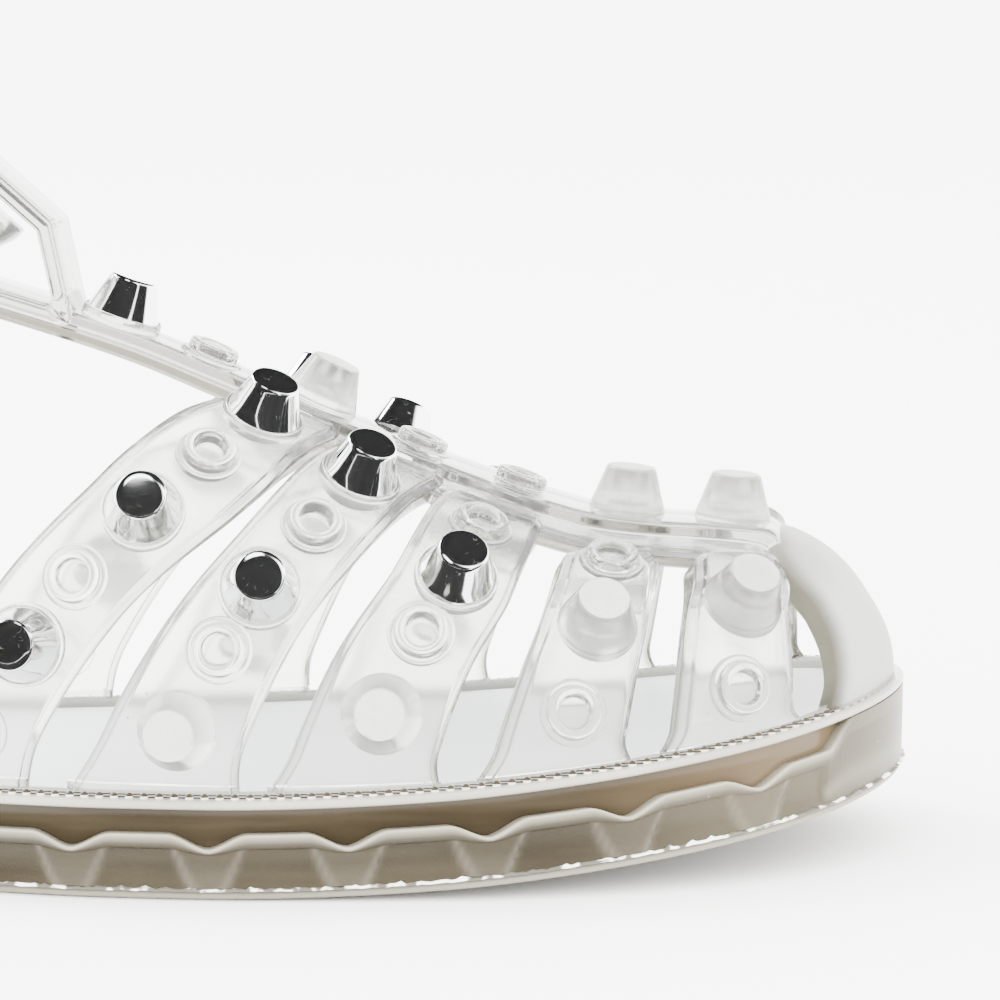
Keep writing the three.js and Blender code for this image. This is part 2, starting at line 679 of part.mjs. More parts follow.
// Sole
function soleColumns(perWave) {
  // Arc length along each side, from the heel's middle to the end of the relief near the toe
  const fine = 600;
  const sideRun = (side) => {
    const run = [0];
    for (let k = 1; k <= fine; k += 1) {
      const a = outlinePoint((k - 1) / fine * Math.PI, side, 0);
      const b = outlinePoint(k / fine * Math.PI, side, 0);
      run.push(run[k - 1] + Math.hypot(b.x - a.x, b.y - a.y));
    }
    return run;
  };
  const reliefEnd = Math.round(fine * turnOf(0.955) / Math.PI);
  const columns = [];
  for (const side of [-1, 1]) {
    const run = sideRun(side);
    const turnAt = (length) => {
      let k = 0;
      while (k < fine - 1 && run[k + 1] < length) k += 1;
      return (k + (length - run[k]) / (run[k + 1] - run[k])) / fine * Math.PI;
    };
    const pitch = run[reliefEnd] / WAVES_A_SIDE;
    const list = [];
    for (let wave = 0; wave < WAVES_A_SIDE; wave += 1) {
      for (const { phase, dip } of perWave) {
        if (wave + phase > 0) list.push({ side, turn: turnAt((wave + phase) * pitch), dip, smoothToe: false });
      }
    }
    const rest = run[fine] - run[reliefEnd];
    const toeSteps = 6;
    for (let k = 0; k < toeSteps; k += 1) {
      list.push({ side, turn: turnAt(run[reliefEnd] + rest * k / toeSteps), dip: 0, smoothToe: true });
    }
    columns.push(list);
  }
  const heel = { side: -1, turn: 0, dip: 0, smoothToe: false };
  const toe = { side: -1, turn: Math.PI, dip: 0, smoothToe: true };
  const lateral = [heel, ...columns[0], toe];
  return [...lateral, ...columns[1].reverse()];
}

const WAVE_STEPS = [
  { phase: 0, dip: 0 },
  { phase: 0.1, dip: 0 },
  { phase: 0.38, dip: 1 },
  { phase: 0.66, dip: 0 },
];

// Places around the outline at even turns, along the lateral side and back along the medial one
function evenColumns() {
  const columns = [];
  for (let k = 0; k < 2 * SIDE_STEPS; k += 1) {
    const side = k < SIDE_STEPS ? -1 : 1;
    columns.push({ side, turn: (side < 0 ? k : 2 * SIDE_STEPS - k) / SIDE_STEPS * Math.PI });
  }
  return columns;
}

// Ring of the sole. place gives, for a column, how far the ring is drawn in and its height over x
const soleRing = (columns, place) => columns.map((column) => {
  const { inset, z } = place(column);
  const { x, y } = outlinePoint(column.turn, column.side, inset);
  return new THREE.Vector3(x, y, z(x));
});

function outsole() {
  const columns = soleColumns(WAVE_STEPS);
  const lipTop = (column, drop) => (x) => rimZ(x) - LEDGE_DROP - WAVE_DEPTH * column.dip - drop;
  const panel = (column) => (column.dip || column.smoothToe ? LEDGE_PROUD : PANEL_INSET);
  const lipInset = WALL_INSET - FIT;
  const levels = [
    () => ({ inset: TREAD_INSET, z: treadZ }),
    () => ({ inset: -LEDGE_PROUD, z: (x) => treadZ(x) + FLASH_HEIGHT }),
    (column) => ({ inset: panel(column), z: lipTop(column, LEDGE_HEIGHT) }),
    (column) => ({ inset: -LEDGE_PROUD, z: lipTop(column, LEDGE_HEIGHT * 0.8) }),
    (column) => ({ inset: LEDGE_PROUD, z: lipTop(column, 0) }),
    (column) => ({ inset: lipInset, z: lipTop(column, 0) }),
    () => ({ inset: lipInset, z: (x) => rimZ(x) - TRAY_DEPTH }),
  ];
  const body = stack(levels.map((place) => soleRing(columns, place)));
  const grooves = [];
  const cut = (share) => {
    const x = share * SHOE_LENGTH;
    const groove = box(GROOVE_WIDTH, GROOVE_LENGTH, 2 * GROOVE_DEPTH, x, centreY(x), treadZ(x));
    grooves.push(toSolid(groove));
  };
  for (let k = 0; k < 4; k += 1) cut(HEEL_GROOVE_AT + GROOVE_PITCH * k);
  for (let k = 0; k < 8; k += 1) cut(BALL_GROOVE_AT + GROOVE_PITCH * k);
  return body.subtract(union(grooves));
}

function midsole() {
  const columns = evenColumns();
  const pocketInset = UPPER_INSET - FIT;
  const below = (drop) => (x) => rimZ(x) - drop;
  const levels = [
    () => ({ inset: WALL_INSET, z: below(TRAY_DEPTH - FIT) }),
    () => ({ inset: WALL_INSET, z: below(RIM_LIP + FIT) }),
    () => ({ inset: 0, z: below(RIM_LIP) }),
    () => ({ inset: 0, z: rimZ }),
    () => ({ inset: pocketInset, z: rimZ }),
    () => ({ inset: pocketInset, z: below(POCKET_DEPTH) }),
  ];
  return stack(levels.map((place) => soleRing(columns, place)));
}

function insole() {
  const columns = evenColumns();
  const inset = UPPER_INSET + STRAP_WALL + FIT;
  const levels = [
    () => ({ inset, z: (x) => rimZ(x) - POCKET_DEPTH + FIT }),
    () => ({ inset, z: (x) => rimZ(x) - INSOLE_DROP }),
  ];
  return stack(levels.map((place) => soleRing(columns, place)));
}

// Ankle strap: riveted outside the medial wing, through the keeper and over the buckle's hinge
const RIVET_ANGLE = 76;
const STRAP_START = 66;
const STRAP_TIP = 62;

function strapOut(angle, side) {
  const over = side < 0 ? barrelRadius + STRAP_WALL / 2 - STRAP_WALL + FIT : FIT;
  const away = over + ANKLE_WALL / 2;
  const along = -ANKLE_WALL / 2;
  const [climbFrom, climbTo] = side < 0 ? [98, 90] : [97, 88];
  return lerp(along, away, smooth((climbFrom - angle) / (climbFrom - climbTo)));
}

function ankleStrap() {
  const stops = [];
  for (let angle = STRAP_START; angle < 180; angle += angle > 86 && angle < 98 ? 3 : 7) stops.push({ angle, side: 1 });
  stops.push({ angle: 180, side: 1 });
  for (let angle = 174; angle >= STRAP_TIP; angle -= angle > 102 ? 7 : 3) stops.push({ angle, side: -1 });
  const ring = ({ angle, side }) => {
    const frame = collarFrame(angle, side, strapOut(angle, side));
    const corner = (w, t) => frame.point.clone()
      .addScaledVector(frame.across, w * ANKLE_WIDTH / 2)
      .addScaledVector(frame.outward, t * ANKLE_WALL / 2);
    return [corner(1, -1), corner(1, 1), corner(-1, 1), corner(-1, -1)];
  };
  return stack(stops.map(ring)).subtract(rivetBore()).subtract(prongSlot());
}

// Bore for the rivet and slot for the prong, both with clearance
function rivetBore() {
  const radius = RIVET_SHANK / 2 + FIT;
  return toSolid(placed(lathe([[0, -20], [radius, -20], [radius, 20], [0, 20]], 10), rivetFrame()));
}

function rivetFrame() {
  const frame = collarFrame(RIVET_ANGLE, 1, 0);
  return { point: frame.point, normal: frame.outward };
}

function prongSlot() {
  const length = BUCKLE_LENGTH - 2 * BUCKLE_BAR;
  const slot = box(length, PRONG_WIDTH + 2 * FIT, 20, BUCKLE_BAR / 2 + length / 2, 0, 0);
  return toSolid(onFrame(slot, buckleFrame()));
}

function rivet() {
  const inner = -STRAP_WALL - 3 * FIT;
  const outer = ANKLE_WALL + 2 * FIT;
  const [shank, head] = [RIVET_SHANK / 2, RIVET_HEAD / 2];
  const profile = [[0, inner - RIVET_HEAD_HEIGHT], [head, inner - RIVET_HEAD_HEIGHT], [head, inner],
    [shank, inner], [shank, outer], [head, outer], [head, outer + RIVET_HEAD_HEIGHT],
    [0, outer + RIVET_HEAD_HEIGHT]];
  return toSolid(placed(lathe(profile, 10), rivetFrame()));
}

// Prong: a loop around the hinge bar and a straight tongue that rests on the front bar
function prong() {
  const loopRadius = BUCKLE_BAR / 2 + 2 * FIT;
  const loop = new THREE.LatheGeometry([[loopRadius, -PRONG_WIDTH / 2], [loopRadius + PRONG_WALL, -PRONG_WIDTH / 2],
    [loopRadius + PRONG_WALL, PRONG_WIDTH / 2], [loopRadius, PRONG_WIDTH / 2], [loopRadius, -PRONG_WIDTH / 2]]
    .map(([r, z]) => new THREE.Vector2(r, z)), 12);
  const height = BUCKLE_PLATE / 2 + FIT + PRONG_WALL / 2;
  const length = BUCKLE_LENGTH - loopRadius;
  const tongue = box(length, PRONG_WIDTH, PRONG_WALL, loopRadius * 0.5 + length / 2, 0, height + FIT);
  return toSolid(onFrame(loop, buckleFrame())).add(toSolid(onFrame(tongue, buckleFrame())));
}

function buckle() {
  const frame = buckleFrame();
  const inner = ANKLE_WIDTH + 4 * FIT + 1;
  const outer = inner + 2 * BUCKLE_BAR;
  const start = -BUCKLE_BAR / 2;
  const bars = [
    box(BUCKLE_BAR, outer, BUCKLE_PLATE, 0, 0, 0),
    box(BUCKLE_BAR, outer, BUCKLE_PLATE, BUCKLE_LENGTH - BUCKLE_BAR, 0, 0),
    box(BUCKLE_LENGTH, BUCKLE_BAR, BUCKLE_PLATE, start + BUCKLE_LENGTH / 2, (inner + BUCKLE_BAR) / 2, 0),
    box(BUCKLE_LENGTH, BUCKLE_BAR, BUCKLE_PLATE, start + BUCKLE_LENGTH / 2, -(inner + BUCKLE_BAR) / 2, 0),
  ];
  return union(bars.map((bar) => toSolid(onFrame(bar, frame))));
}

const material = (color, roughness, metalness, opacity = 1) => (
  new THREE.MeshStandardMaterial({ color, roughness, metalness, opacity, transparent: opacity < 1 })
);

const CLEAR = material(0xe6e8e4, 0.2, 0, 0.5);
const SMOKE = material(0x9b9184, 0.25, 0, 0.7);
const FOOTBED = material(0xe4e7ea, 0.4, 0);
const CHROME = material(0xd0d2d4, 0.08, 1);

const sandal = new THREE.Group();

function addPart(name, solid, finish) {
  const geometry = solid.isBufferGeometry ? solid : toGeometry(solid);
  const mesh = new THREE.Mesh(geometry, finish);
  mesh.name = name;
  mesh.position.x = -SHOE_LENGTH / 2;
  sandal.add(mesh);
}

addPart('upper', upper(), CLEAR);
addPart('insole', insole(), FOOTBED);
addPart('midsole', midsole(), SMOKE);
addPart('outsole', outsole(), SMOKE);
addPart('ankle_strap', ankleStrap(), CLEAR);
addPart('buckle_frame', buckle(), CHROME);
addPart('buckle_prong', prong(), CHROME);
addPart('strap_rivet', rivet(), CHROME);
for (const trim of TRIMS.filter((one) => one.kind === 'chrome')) {
  addPart(trim.name, placed(studGeometry(FIT), trim.frame, trim.lift), CHROME);
}

export default sandal;
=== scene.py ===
import math

import bmesh
import bpy
import numpy as np
from mathutils import Matrix, Vector


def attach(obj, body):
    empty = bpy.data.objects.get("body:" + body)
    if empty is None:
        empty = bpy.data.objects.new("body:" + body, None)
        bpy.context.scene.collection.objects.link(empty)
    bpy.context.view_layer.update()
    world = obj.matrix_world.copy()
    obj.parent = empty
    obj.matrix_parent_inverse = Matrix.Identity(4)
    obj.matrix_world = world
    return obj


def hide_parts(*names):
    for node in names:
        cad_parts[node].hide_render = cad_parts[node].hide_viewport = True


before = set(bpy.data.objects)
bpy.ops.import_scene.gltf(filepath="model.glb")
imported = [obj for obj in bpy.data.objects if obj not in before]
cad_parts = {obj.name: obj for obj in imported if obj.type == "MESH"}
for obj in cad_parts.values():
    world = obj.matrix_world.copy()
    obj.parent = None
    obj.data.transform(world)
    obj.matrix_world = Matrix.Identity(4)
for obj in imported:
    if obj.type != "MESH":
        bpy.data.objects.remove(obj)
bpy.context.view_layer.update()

# Sizes of the last, the sole and the fittings, in millimetres, as in the part's source.
# Here x is measured from the heel; solid() moves the meshes to the middle of the length.
MM = 0.001
LENGTH = 250.0
BALL_WIDTH = 89.0
RIM_HEIGHT = 14.5
HEEL_RISE = 6.0
TOE_SPRING = 10.5
TOE_SWING = 4.0
INSTEP_RISE = 68.5
ARCH_RISE = 2.0
GIRTH_POWER = 2.3
WALL = 2.3
FIT = 0.3
UPPER_INSET = 2.6
BAND_LIFT = 0.9
CAP_STEP = 1.1
SPINE_WIDTH = 15.0
PLATE_WIDTH = 31.0
TIP_WIDTH = 18.0
SPINE_STEP = 1.6
WALL_INSET = 1.6
POCKET_DEPTH = 3.2
TRAY_DEPTH = 7.7
LEDGE_DROP = 4.7
WAVE_DEPTH = 2.2
WAVES = 13
DIP_PHASE = 0.38
DIP_REACH = 0.285
FLASH_HEIGHT = 1.6
ANKLE_WIDTH = 11.0
ANKLE_WALL = 2.4
KEEPER_WALL = 2.5
KEEPER_PLAY = 7.0
BUCKLE_BAR = 2.0
BUCKLE_LENGTH = 17.0
PRONG_WIDTH = 1.9
PRONG_WALL = 1.3
BEAD_PITCH = 2.2
COLLAR_FRONT = 0.455 * LENGTH
COLLAR_BACK = 0.029 * LENGTH
COLLAR_WIDTH = 32.0
BARREL = BUCKLE_BAR / 2 + FIT * 2 + 1.1
RIVET_HOLE = 1.8
PUNCHED_HOLE = 1.25
WAVE_LENGTH = 20.2
BAND_RUN = 68.0
COUNTER_RUN = 90.0
HINGE_ANGLE = 86.5
RIVET_ANGLE = 76
KEEPER_SLOPE = 42
BUCKLE_TILT = 10
RELIEF_END = 0.955  # share of the length where the wavy relief of the sole ends
WAVE_COLUMNS = 28
TURN = 2 * math.pi


def clamp01(k):
    return np.clip(k, 0.0, 1.0)


def smooth(k):
    k = clamp01(k)
    return k * k * (3 - 2 * k)


def lerp(a, b, k):
    return a + (b - a) * k


def curve(xs, ys):
    """Monotone cubic curve through points."""
    xs, ys = np.array(xs, float), np.array(ys, float)
    steps = np.diff(ys) / np.diff(xs)
    slopes = np.zeros_like(ys)
    slopes[0], slopes[-1] = steps[0], steps[-1]
    for k in range(1, len(xs) - 1):
        product = steps[k - 1] * steps[k]
        slopes[k] = 0 if product <= 0 else 2 * product / (steps[k - 1] + steps[k])

    def at(x):
        x = np.asarray(x, float)
        k = np.clip(np.searchsorted(xs, x, side="left") - 1, 0, len(xs) - 2)
        h = xs[k + 1] - xs[k]
        u = clamp01((x - xs[k]) / h)
        v = 1 - u
        return (ys[k] * v * v * (1 + 2 * u) + slopes[k] * h * u * v * v
                + ys[k + 1] * u * u * (3 - 2 * u) - slopes[k + 1] * h * u * u * v)

    return at


def turn_of(share):
    return np.arccos(1 - 2 * clamp01(np.asarray(share, float)))


# Half outline of the sole: share of the length from the heel, then shares of the ball width
OUTLINE = [
    (0, 0, 0), (0.012, 0.146, 0.146), (0.04, 0.247, 0.247), (0.1, 0.337, 0.335), (0.2, 0.377, 0.362),
    (0.34, 0.402, 0.353), (0.44, 0.45, 0.37), (0.54, 0.499, 0.412), (0.64, 0.516, 0.457),
    (0.74, 0.513, 0.479), (0.82, 0.48, 0.452), (0.88, 0.43, 0.411), (0.928, 0.362, 0.342),
    (0.964, 0.269, 0.258), (0.988, 0.16, 0.155), (1, 0, 0),
]
# Height of the ridge over the rim, as a share of the instep rise
RIDGE = [
    (0, 0), (0.1, 1.02), (0.3, 1.14), (0.4, 1.06), (0.455, 1), (0.54, 0.9), (0.588, 0.828),
    (0.64, 0.747), (0.7, 0.642), (0.74, 0.575), (0.78, 0.511), (0.82, 0.455), (0.86, 0.42),
    (0.896, 0.394), (0.928, 0.362), (0.952, 0.312), (0.972, 0.24), (0.986, 0.16), (1, 0),
]
# Bands of the cage: middle of the band at four girths, three widths, the girth of the top end and
# how much further forward the top end lies on the medial side
BANDS = {
    "a": ((0.903, 0.905, 0.905, 0.9), (0.069, 0.058, 0.05), 0.76, 0),
    "b": ((0.802, 0.815, 0.825, 0.829), (0.075, 0.059, 0.055), 0.74, 0),
    "c": ((0.687, 0.714, 0.741, 0.759), (0.086, 0.068, 0.058), 0.88, 0),
    "d": ((0.57, 0.614, 0.655, 0.7025), (0.088, 0.064, 0.06), 0.92, 0.004),
    "e": ((0.45, 0.513, 0.575, 0.6425), (0.076, 0.078, 0.056), 0.94, 0.012),
}
# Studs and ring bosses: girth along a band, or share of the length along the centre strap, and kind
BAND_TRIMS = {
    "a": [(0.16, "ring"), (0.49, "clear")],
    "b": [(0.15, "ring"), (0.42, "clear"), (0.66, "ring")],
    "c": [(0.14, "clear"), (0.33, "ring"), (0.5, "chrome"), (0.69, "ring")],
    "d": [(0.085, "clear"), (0.22, "ring"), (0.35, "chrome"), (0.53, "ring"), (0.71, "chrome")],
    "e": [(0.06, "ring"), (0.18, "chrome"), (0.295, "ring"), (0.44, "chrome"), (0.62, "ring"),
          (0.79, "chrome")],
}
SPINE_TRIMS = [
    (0.526, "chrome"), (0.58, "ring"), (0.645, "clear"), (0.706, "ring"), (0.766, "ring"),
    (0.832, "clear"), (0.896, "clear"),
]
# Rear edge of the toe cap: girth and share of the length
CAP_EDGE = [(0, 0.955), (0.15, 0.959), (0.3, 0.957), (0.5, 0.948), (0.65, 0.932), (0.82, 0.92),
            (1, 0.915)]
# Front edge of the heel counter: height (1 is the collar's lower edge, 2 its upper one) and angle from
# the heel
COUNTER_UP = [0, 0.22, 0.45, 0.7, 0.9, 1, 1.3, 1.7, 2]
COUNTER_REACH = [96, 76, 60, 50, 54, 66, 85.5, 85.5, 85.5]

outline_turns = turn_of([row[0] for row in OUTLINE])
lateral_share = curve(outline_turns, [row[1] for row in OUTLINE])
medial_share = curve(outline_turns, [row[2] for row in OUTLINE])
ridge_share = curve(turn_of([row[0] for row in RIDGE]), [row[1] for row in RIDGE])


def centre_y(x):
    return TOE_SWING * smooth((x / LENGTH - 0.52) / 0.48)


def spring_from(x, share):
    return TOE_SPRING * np.maximum(0, (x / LENGTH - share) / 0.4) ** 2


def rim_z(x):
    heel = HEEL_RISE * (1 - smooth((x / LENGTH - 0.16) / 0.26))
    return RIM_HEIGHT + heel + spring_from(x, 0.6)


def tread_z(x):
    share = x / LENGTH
    arch = ARCH_RISE * smooth((share - 0.25) / 0.05) * (1 - smooth((share - 0.38) / 0.06))
    return arch + spring_from(x, 0.59) * 0.95


def outline_point(turn, side, inset):
    x = LENGTH / 2 - (LENGTH / 2 - inset) * np.cos(turn)
    share = np.where(np.asarray(side) < 0, lateral_share(turn), medial_share(turn))
    return x, centre_y(x) + side * (share * BALL_WIDTH - inset * np.sin(turn))


def upper_turn(x):
    return turn_of((x - UPPER_INSET) / (LENGTH - 2 * UPPER_INSET))


def last_at_turn(turn, girth, out):
    """Point of the last: girth 0 is the lateral rim, 1 the ridge and 2 the medial rim."""
    turn, girth, out = np.broadcast_arrays(*np.atleast_1d(turn, girth, out))
    side = np.where(girth <= 1, -1, 1)
    x, y = outline_point(turn, side, UPPER_INSET - out)
    angle = girth * math.pi / 2
    across = np.abs(np.cos(angle)) ** (2 / GIRTH_POWER)
    high = np.abs(np.sin(angle)) ** (2 / GIRTH_POWER)
    rise = np.maximum(0, ridge_share(turn) * INSTEP_RISE + out)
    return np.stack([x, lerp(centre_y(x), y, across), rim_z(x) + rise * high], axis=-1)


def last_point(x, girth, out):
    return last_at_turn(upper_turn(np.asarray(x, float)), girth, out)


def girth_at(x, offset):
    """Girth share of a point of the last at a distance from its ridge."""
    x, offset = np.broadcast_arrays(np.asarray(x, float), np.asarray(offset, float))
    _, y = outline_point(upper_turn(x), np.where(offset < 0, -1, 1), UPPER_INSET)
    across = np.minimum(1, np.abs(offset) / np.abs(y - centre_y(x)))
    angle = np.arccos(across ** (GIRTH_POWER / 2)) / (math.pi / 2)
    return np.where(offset < 0, angle, 2 - angle)


def unit(v):
    v = np.asarray(v, float)
    return v / np.linalg.norm(v)


def last_frame(x, girth):
    step = 0.01 * LENGTH
    along_x = (last_point(x + step, girth, 0) - last_point(x - step, girth, 0))[0]
    along_girth = (last_point(x, girth + 0.01, 0) - last_point(x, girth - 0.01, 0))[0]
    return last_point(x, girth, 0)[0], unit(np.cross(along_x, along_girth))


# ---- Materials ----------------------------------------------------------------------------------

class Wire:
    """An output socket that takes part in sums."""

    def __init__(self, recipe, socket):
        self.recipe, self.socket = recipe, socket

    def _math(self, operation, *values):
        return self.recipe.node("ShaderNodeMath", {"operation": operation}, *values)

    def __add__(self, other):
        return self._math("ADD", self, other)

    def __sub__(self, other):
        return self._math("SUBTRACT", self, other)

    def __rsub__(self, other):
        return self._math("SUBTRACT", other, self)

    def __mul__(self, other):
        return self._math("MULTIPLY", self, other)

    def __gt__(self, other):
        return self._math("GREATER_THAN", self, other)

    def __lt__(self, other):
        return self._math("LESS_THAN", self, other)

    __radd__, __rmul__ = __add__, __mul__


class Recipe:
    """The nodes of a material or of the world, and the one method that adds any node to them."""

    def __init__(self, name, kind="Material"):
        lists = {"Material": bpy.data.materials, "World": bpy.data.worlds}
        self.kind, self.owner = kind, lists[kind].new(name)
        self.owner.use_nodes = True
        self.tree = self.owner.node_tree
        self.tree.nodes.clear()
        self.place = self.node("ShaderNodeTexCoord", {}, out="Object" if kind == "Material" else "Generated")

    def node(self, kind, settings, *values, out=0, **named):
        made = self.tree.nodes.new(kind)
        for key, value in settings.items():
            setattr(made, key, value)
        for key, value in [*enumerate(values), *((k.replace("_", " "), v) for k, v in named.items())]:
            if isinstance(value, Wire):
                self.tree.links.new(value.socket, made.inputs[key])
            elif value is not None:
                made.inputs[key].default_value = value
        return Wire(self, made.outputs[out])

    def between(self, low, high, value):
        """0 below low and 1 above high, with soft ends."""
        return self.node("ShaderNodeMapRange", {"interpolation_type": "SMOOTHSTEP"}, Value=value,
                         From_Min=low, From_Max=high, To_Min=0.0, To_Max=1.0)

    def noise(self, scale, detail=2.0, stretch=(1, 1, 1)):
        spot = self.node("ShaderNodeMapping", {}, self.place, None, None, stretch)
        return self.node("ShaderNodeTexNoise", {}, Vector=spot, Scale=scale, Detail=detail)

    def blend(self, factor, *tints):
        """Mix of two tints, each a socket or red, green and blue."""
        first, second = (tint if isinstance(tint, Wire) else (*tint, 1) for tint in tints)
        return self.node("ShaderNodeMix", {"data_type": "RGBA"}, factor, *[None] * 5, first, second, out=2)

    def bump(self, height, strength, distance):
        return self.node("ShaderNodeBump", {}, Strength=strength, Distance=distance, Height=height)

    def flecks(self, scale, size, seed):
        """Small round specks, few and far between."""
        spot = self.node("ShaderNodeMapping", {}, self.place, (seed, seed * 0.7, seed * 1.3))
        near = self.node("ShaderNodeTexVoronoi", {}, Vector=spot, Scale=scale, out="Distance")
        return near < size

    def hairs(self, scale, seed):
        """Thin short scratches and hairs at scattered places."""
        shift, turn = (seed, 0.3 * seed, 0.1 * seed), (0.4, 0.7, seed)
        spot = self.node("ShaderNodeMapping", {}, self.place, shift, turn)
        lines = self.node("ShaderNodeTexNoise", {}, Vector=spot, Scale=scale, Detail=1.0, Distortion=1.2)
        thin = self.node("ShaderNodeMath", {"operation": "ABSOLUTE"}, lines - 0.5)
        where = self.noise(scale * 1.7, 1.0)
        return (thin < 0.0016) * (where > 0.62)

    def facing(self):
        """0 where the surface is seen straight on and 1 at its outline."""
        return self.node("ShaderNodeLayerWeight", {}, out="Facing", Blend=0.5)

    def mark(self, name):
        return self.node("ShaderNodeAttribute", {"attribute_name": name}, out="Fac")

    def surface(self, shader):
        end = self.tree.nodes.new("ShaderNodeOutput" + self.kind)
        self.tree.links.new(shader.socket, end.inputs["Surface"])
        return self.owner

    def principled(self, **named):
        return self.node("ShaderNodeBsdfPrincipled", {}, **named)

    def glassy(self, shader, shade=(0.88, 0.88, 0.86)):
        """Lets lamps through, so that clear plastic throws a light shadow."""
        clear = self.node("ShaderNodeBsdfTransparent", {}, Color=(*shade, 1))
        lamp = self.node("ShaderNodeLightPath", {}, out="Is Shadow Ray")
        return self.surface(self.node("ShaderNodeMixShader", {}, lamp, shader, clear))


def clear_pvc():
    r = Recipe("clear_pvc")
    waves = r.noise(60, 0.0)
    marks = r.flecks(140, 0.035, 3.1)
    # Painted shade: the tint darkens towards the outline and where the edge mark is set
    tint = r.blend(r.between(0.5, 1.0, r.facing()), (0.83, 0.83, 0.81), (0.07, 0.066, 0.05))
    tint = r.blend(r.mark("edge"), tint, (0.13, 0.125, 0.098))
    tint = r.blend(marks, tint, (0.3, 0.27, 0.21))
    body = r.principled(Base_Color=tint, Roughness=0.03 + 0.11 * r.mark("inner"), IOR=1.5,
                        Transmission_Weight=0.95, Normal=r.bump(waves, 0.3, 0.0006))
    return r.glassy(body, (0.93, 0.935, 0.92))


def frosted_pvc():
    r = Recipe("frosted_pvc")
    cloud = r.noise(60, 1.0)
    tint = r.blend(cloud, (0.60, 0.60, 0.575), (0.50, 0.50, 0.475))
    # Painted shade: the tint darkens towards the outline and where the edge mark is set
    tint = r.blend(r.between(0.45, 1.0, r.facing()), tint, (0.2, 0.19, 0.155))
    tint = r.blend(r.mark("edge"), tint, (0.075, 0.066, 0.042))
    body = r.principled(Base_Color=tint, Roughness=0.3 + 0.12 * cloud, IOR=1.45, Transmission_Weight=0.75,
                        Normal=r.bump(r.noise(1400, 1.0), 0.25, 0.0002))
    return r.glassy(body)


def satin_pvc():
    """Smooth frosted plastic of the cast studs, with painted shade towards its outline and where the edge
    mark is set.
    """
    r = Recipe("satin_pvc")
    tint = r.blend(r.noise(90, 0.0), (0.68, 0.68, 0.655), (0.58, 0.58, 0.555))
    # Painted shade towards the outline and along the marked places
    tint = r.blend(r.between(0.35, 1.0, r.facing()), tint, (0.14, 0.135, 0.11))
    tint = r.blend(r.mark("edge"), tint, (0.15, 0.145, 0.12))
    body = r.principled(Base_Color=tint, Roughness=0.17 + 0.08 * r.noise(400, 0.0), IOR=1.45,
                        Transmission_Weight=0.8)
    return r.glassy(body)


def stud_top_pvc():
    r = Recipe("stud_top_pvc")
    grain = r.noise(2200, 1.0)
    tint = r.blend(grain, (0.52, 0.52, 0.50), (0.68, 0.68, 0.66))
    body = r.principled(Base_Color=tint, Roughness=0.45 + 0.15 * grain, IOR=1.45, Transmission_Weight=0.6,
                        Normal=r.bump(grain, 0.6, 0.0002))
    return r.glassy(body)


def chrome():
    r = Recipe("chrome")
    fine = r.noise(500, 3.0, (1, 8, 1))
    scratch = r.hairs(420, 2.3)
    tint = r.blend(scratch, (0.86, 0.87, 0.87), (0.96, 0.96, 0.95))
    rough = 0.045 + 0.05 * fine + 0.35 * scratch
    normal = r.bump(r.noise(160, 1.0), 0.12, 0.0004)
    return r.surface(r.principled(Base_Color=tint, Metallic=1.0, Roughness=rough, Normal=normal))


def footbed_pvc():
    r = Recipe("footbed_pvc")
    grain = r.noise(900, 3.0)
    cloud = r.noise(18, 2.0, (0.4, 1, 1))
    tint = r.blend(cloud, (0.56, 0.59, 0.61), (0.66, 0.68, 0.69))
    normal = r.bump(grain, 0.3, 0.0003)
    return r.surface(r.principled(Base_Color=tint, Roughness=0.42 + 0.15 * grain, IOR=1.48, Normal=normal))


def rim_pvc(name, light, dark):
    r = Recipe(name)
    cloud = r.noise(110, 2.0, (0.3, 1, 2))
    marks = r.flecks(90, 0.03, 5.2)
    tint = r.blend(cloud, light, dark)
    # Painted shade where the edge mark is set, as under the rim's lower edge
    tint = r.blend(r.mark("edge"), tint, (0.075, 0.064, 0.046))
    tint = r.blend(marks, tint, (0.12, 0.06, 0.025))
    return r.surface(r.principled(Base_Color=tint, Roughness=0.16 + 0.1 * cloud, IOR=1.5,
                                  Normal=r.bump(cloud, 0.2, 0.0006)))


def flash_pvc():
    """Ragged line left by the mould, with painted highlights in pieces along it."""
    r = Recipe("flash_pvc")
    flash_glints = r.between(0.49, 0.56, r.noise(260, 2.0, (1, 1, 0.4)))
    # The pale pieces are painted highlights
    tint = r.blend(flash_glints, (0.1, 0.092, 0.075), (0.93, 0.92, 0.89))
    return r.surface(r.principled(Base_Color=tint, Roughness=0.3 + 0.2 * flash_glints,
                                  Normal=r.bump(flash_glints, 0.4, 0.0003)))


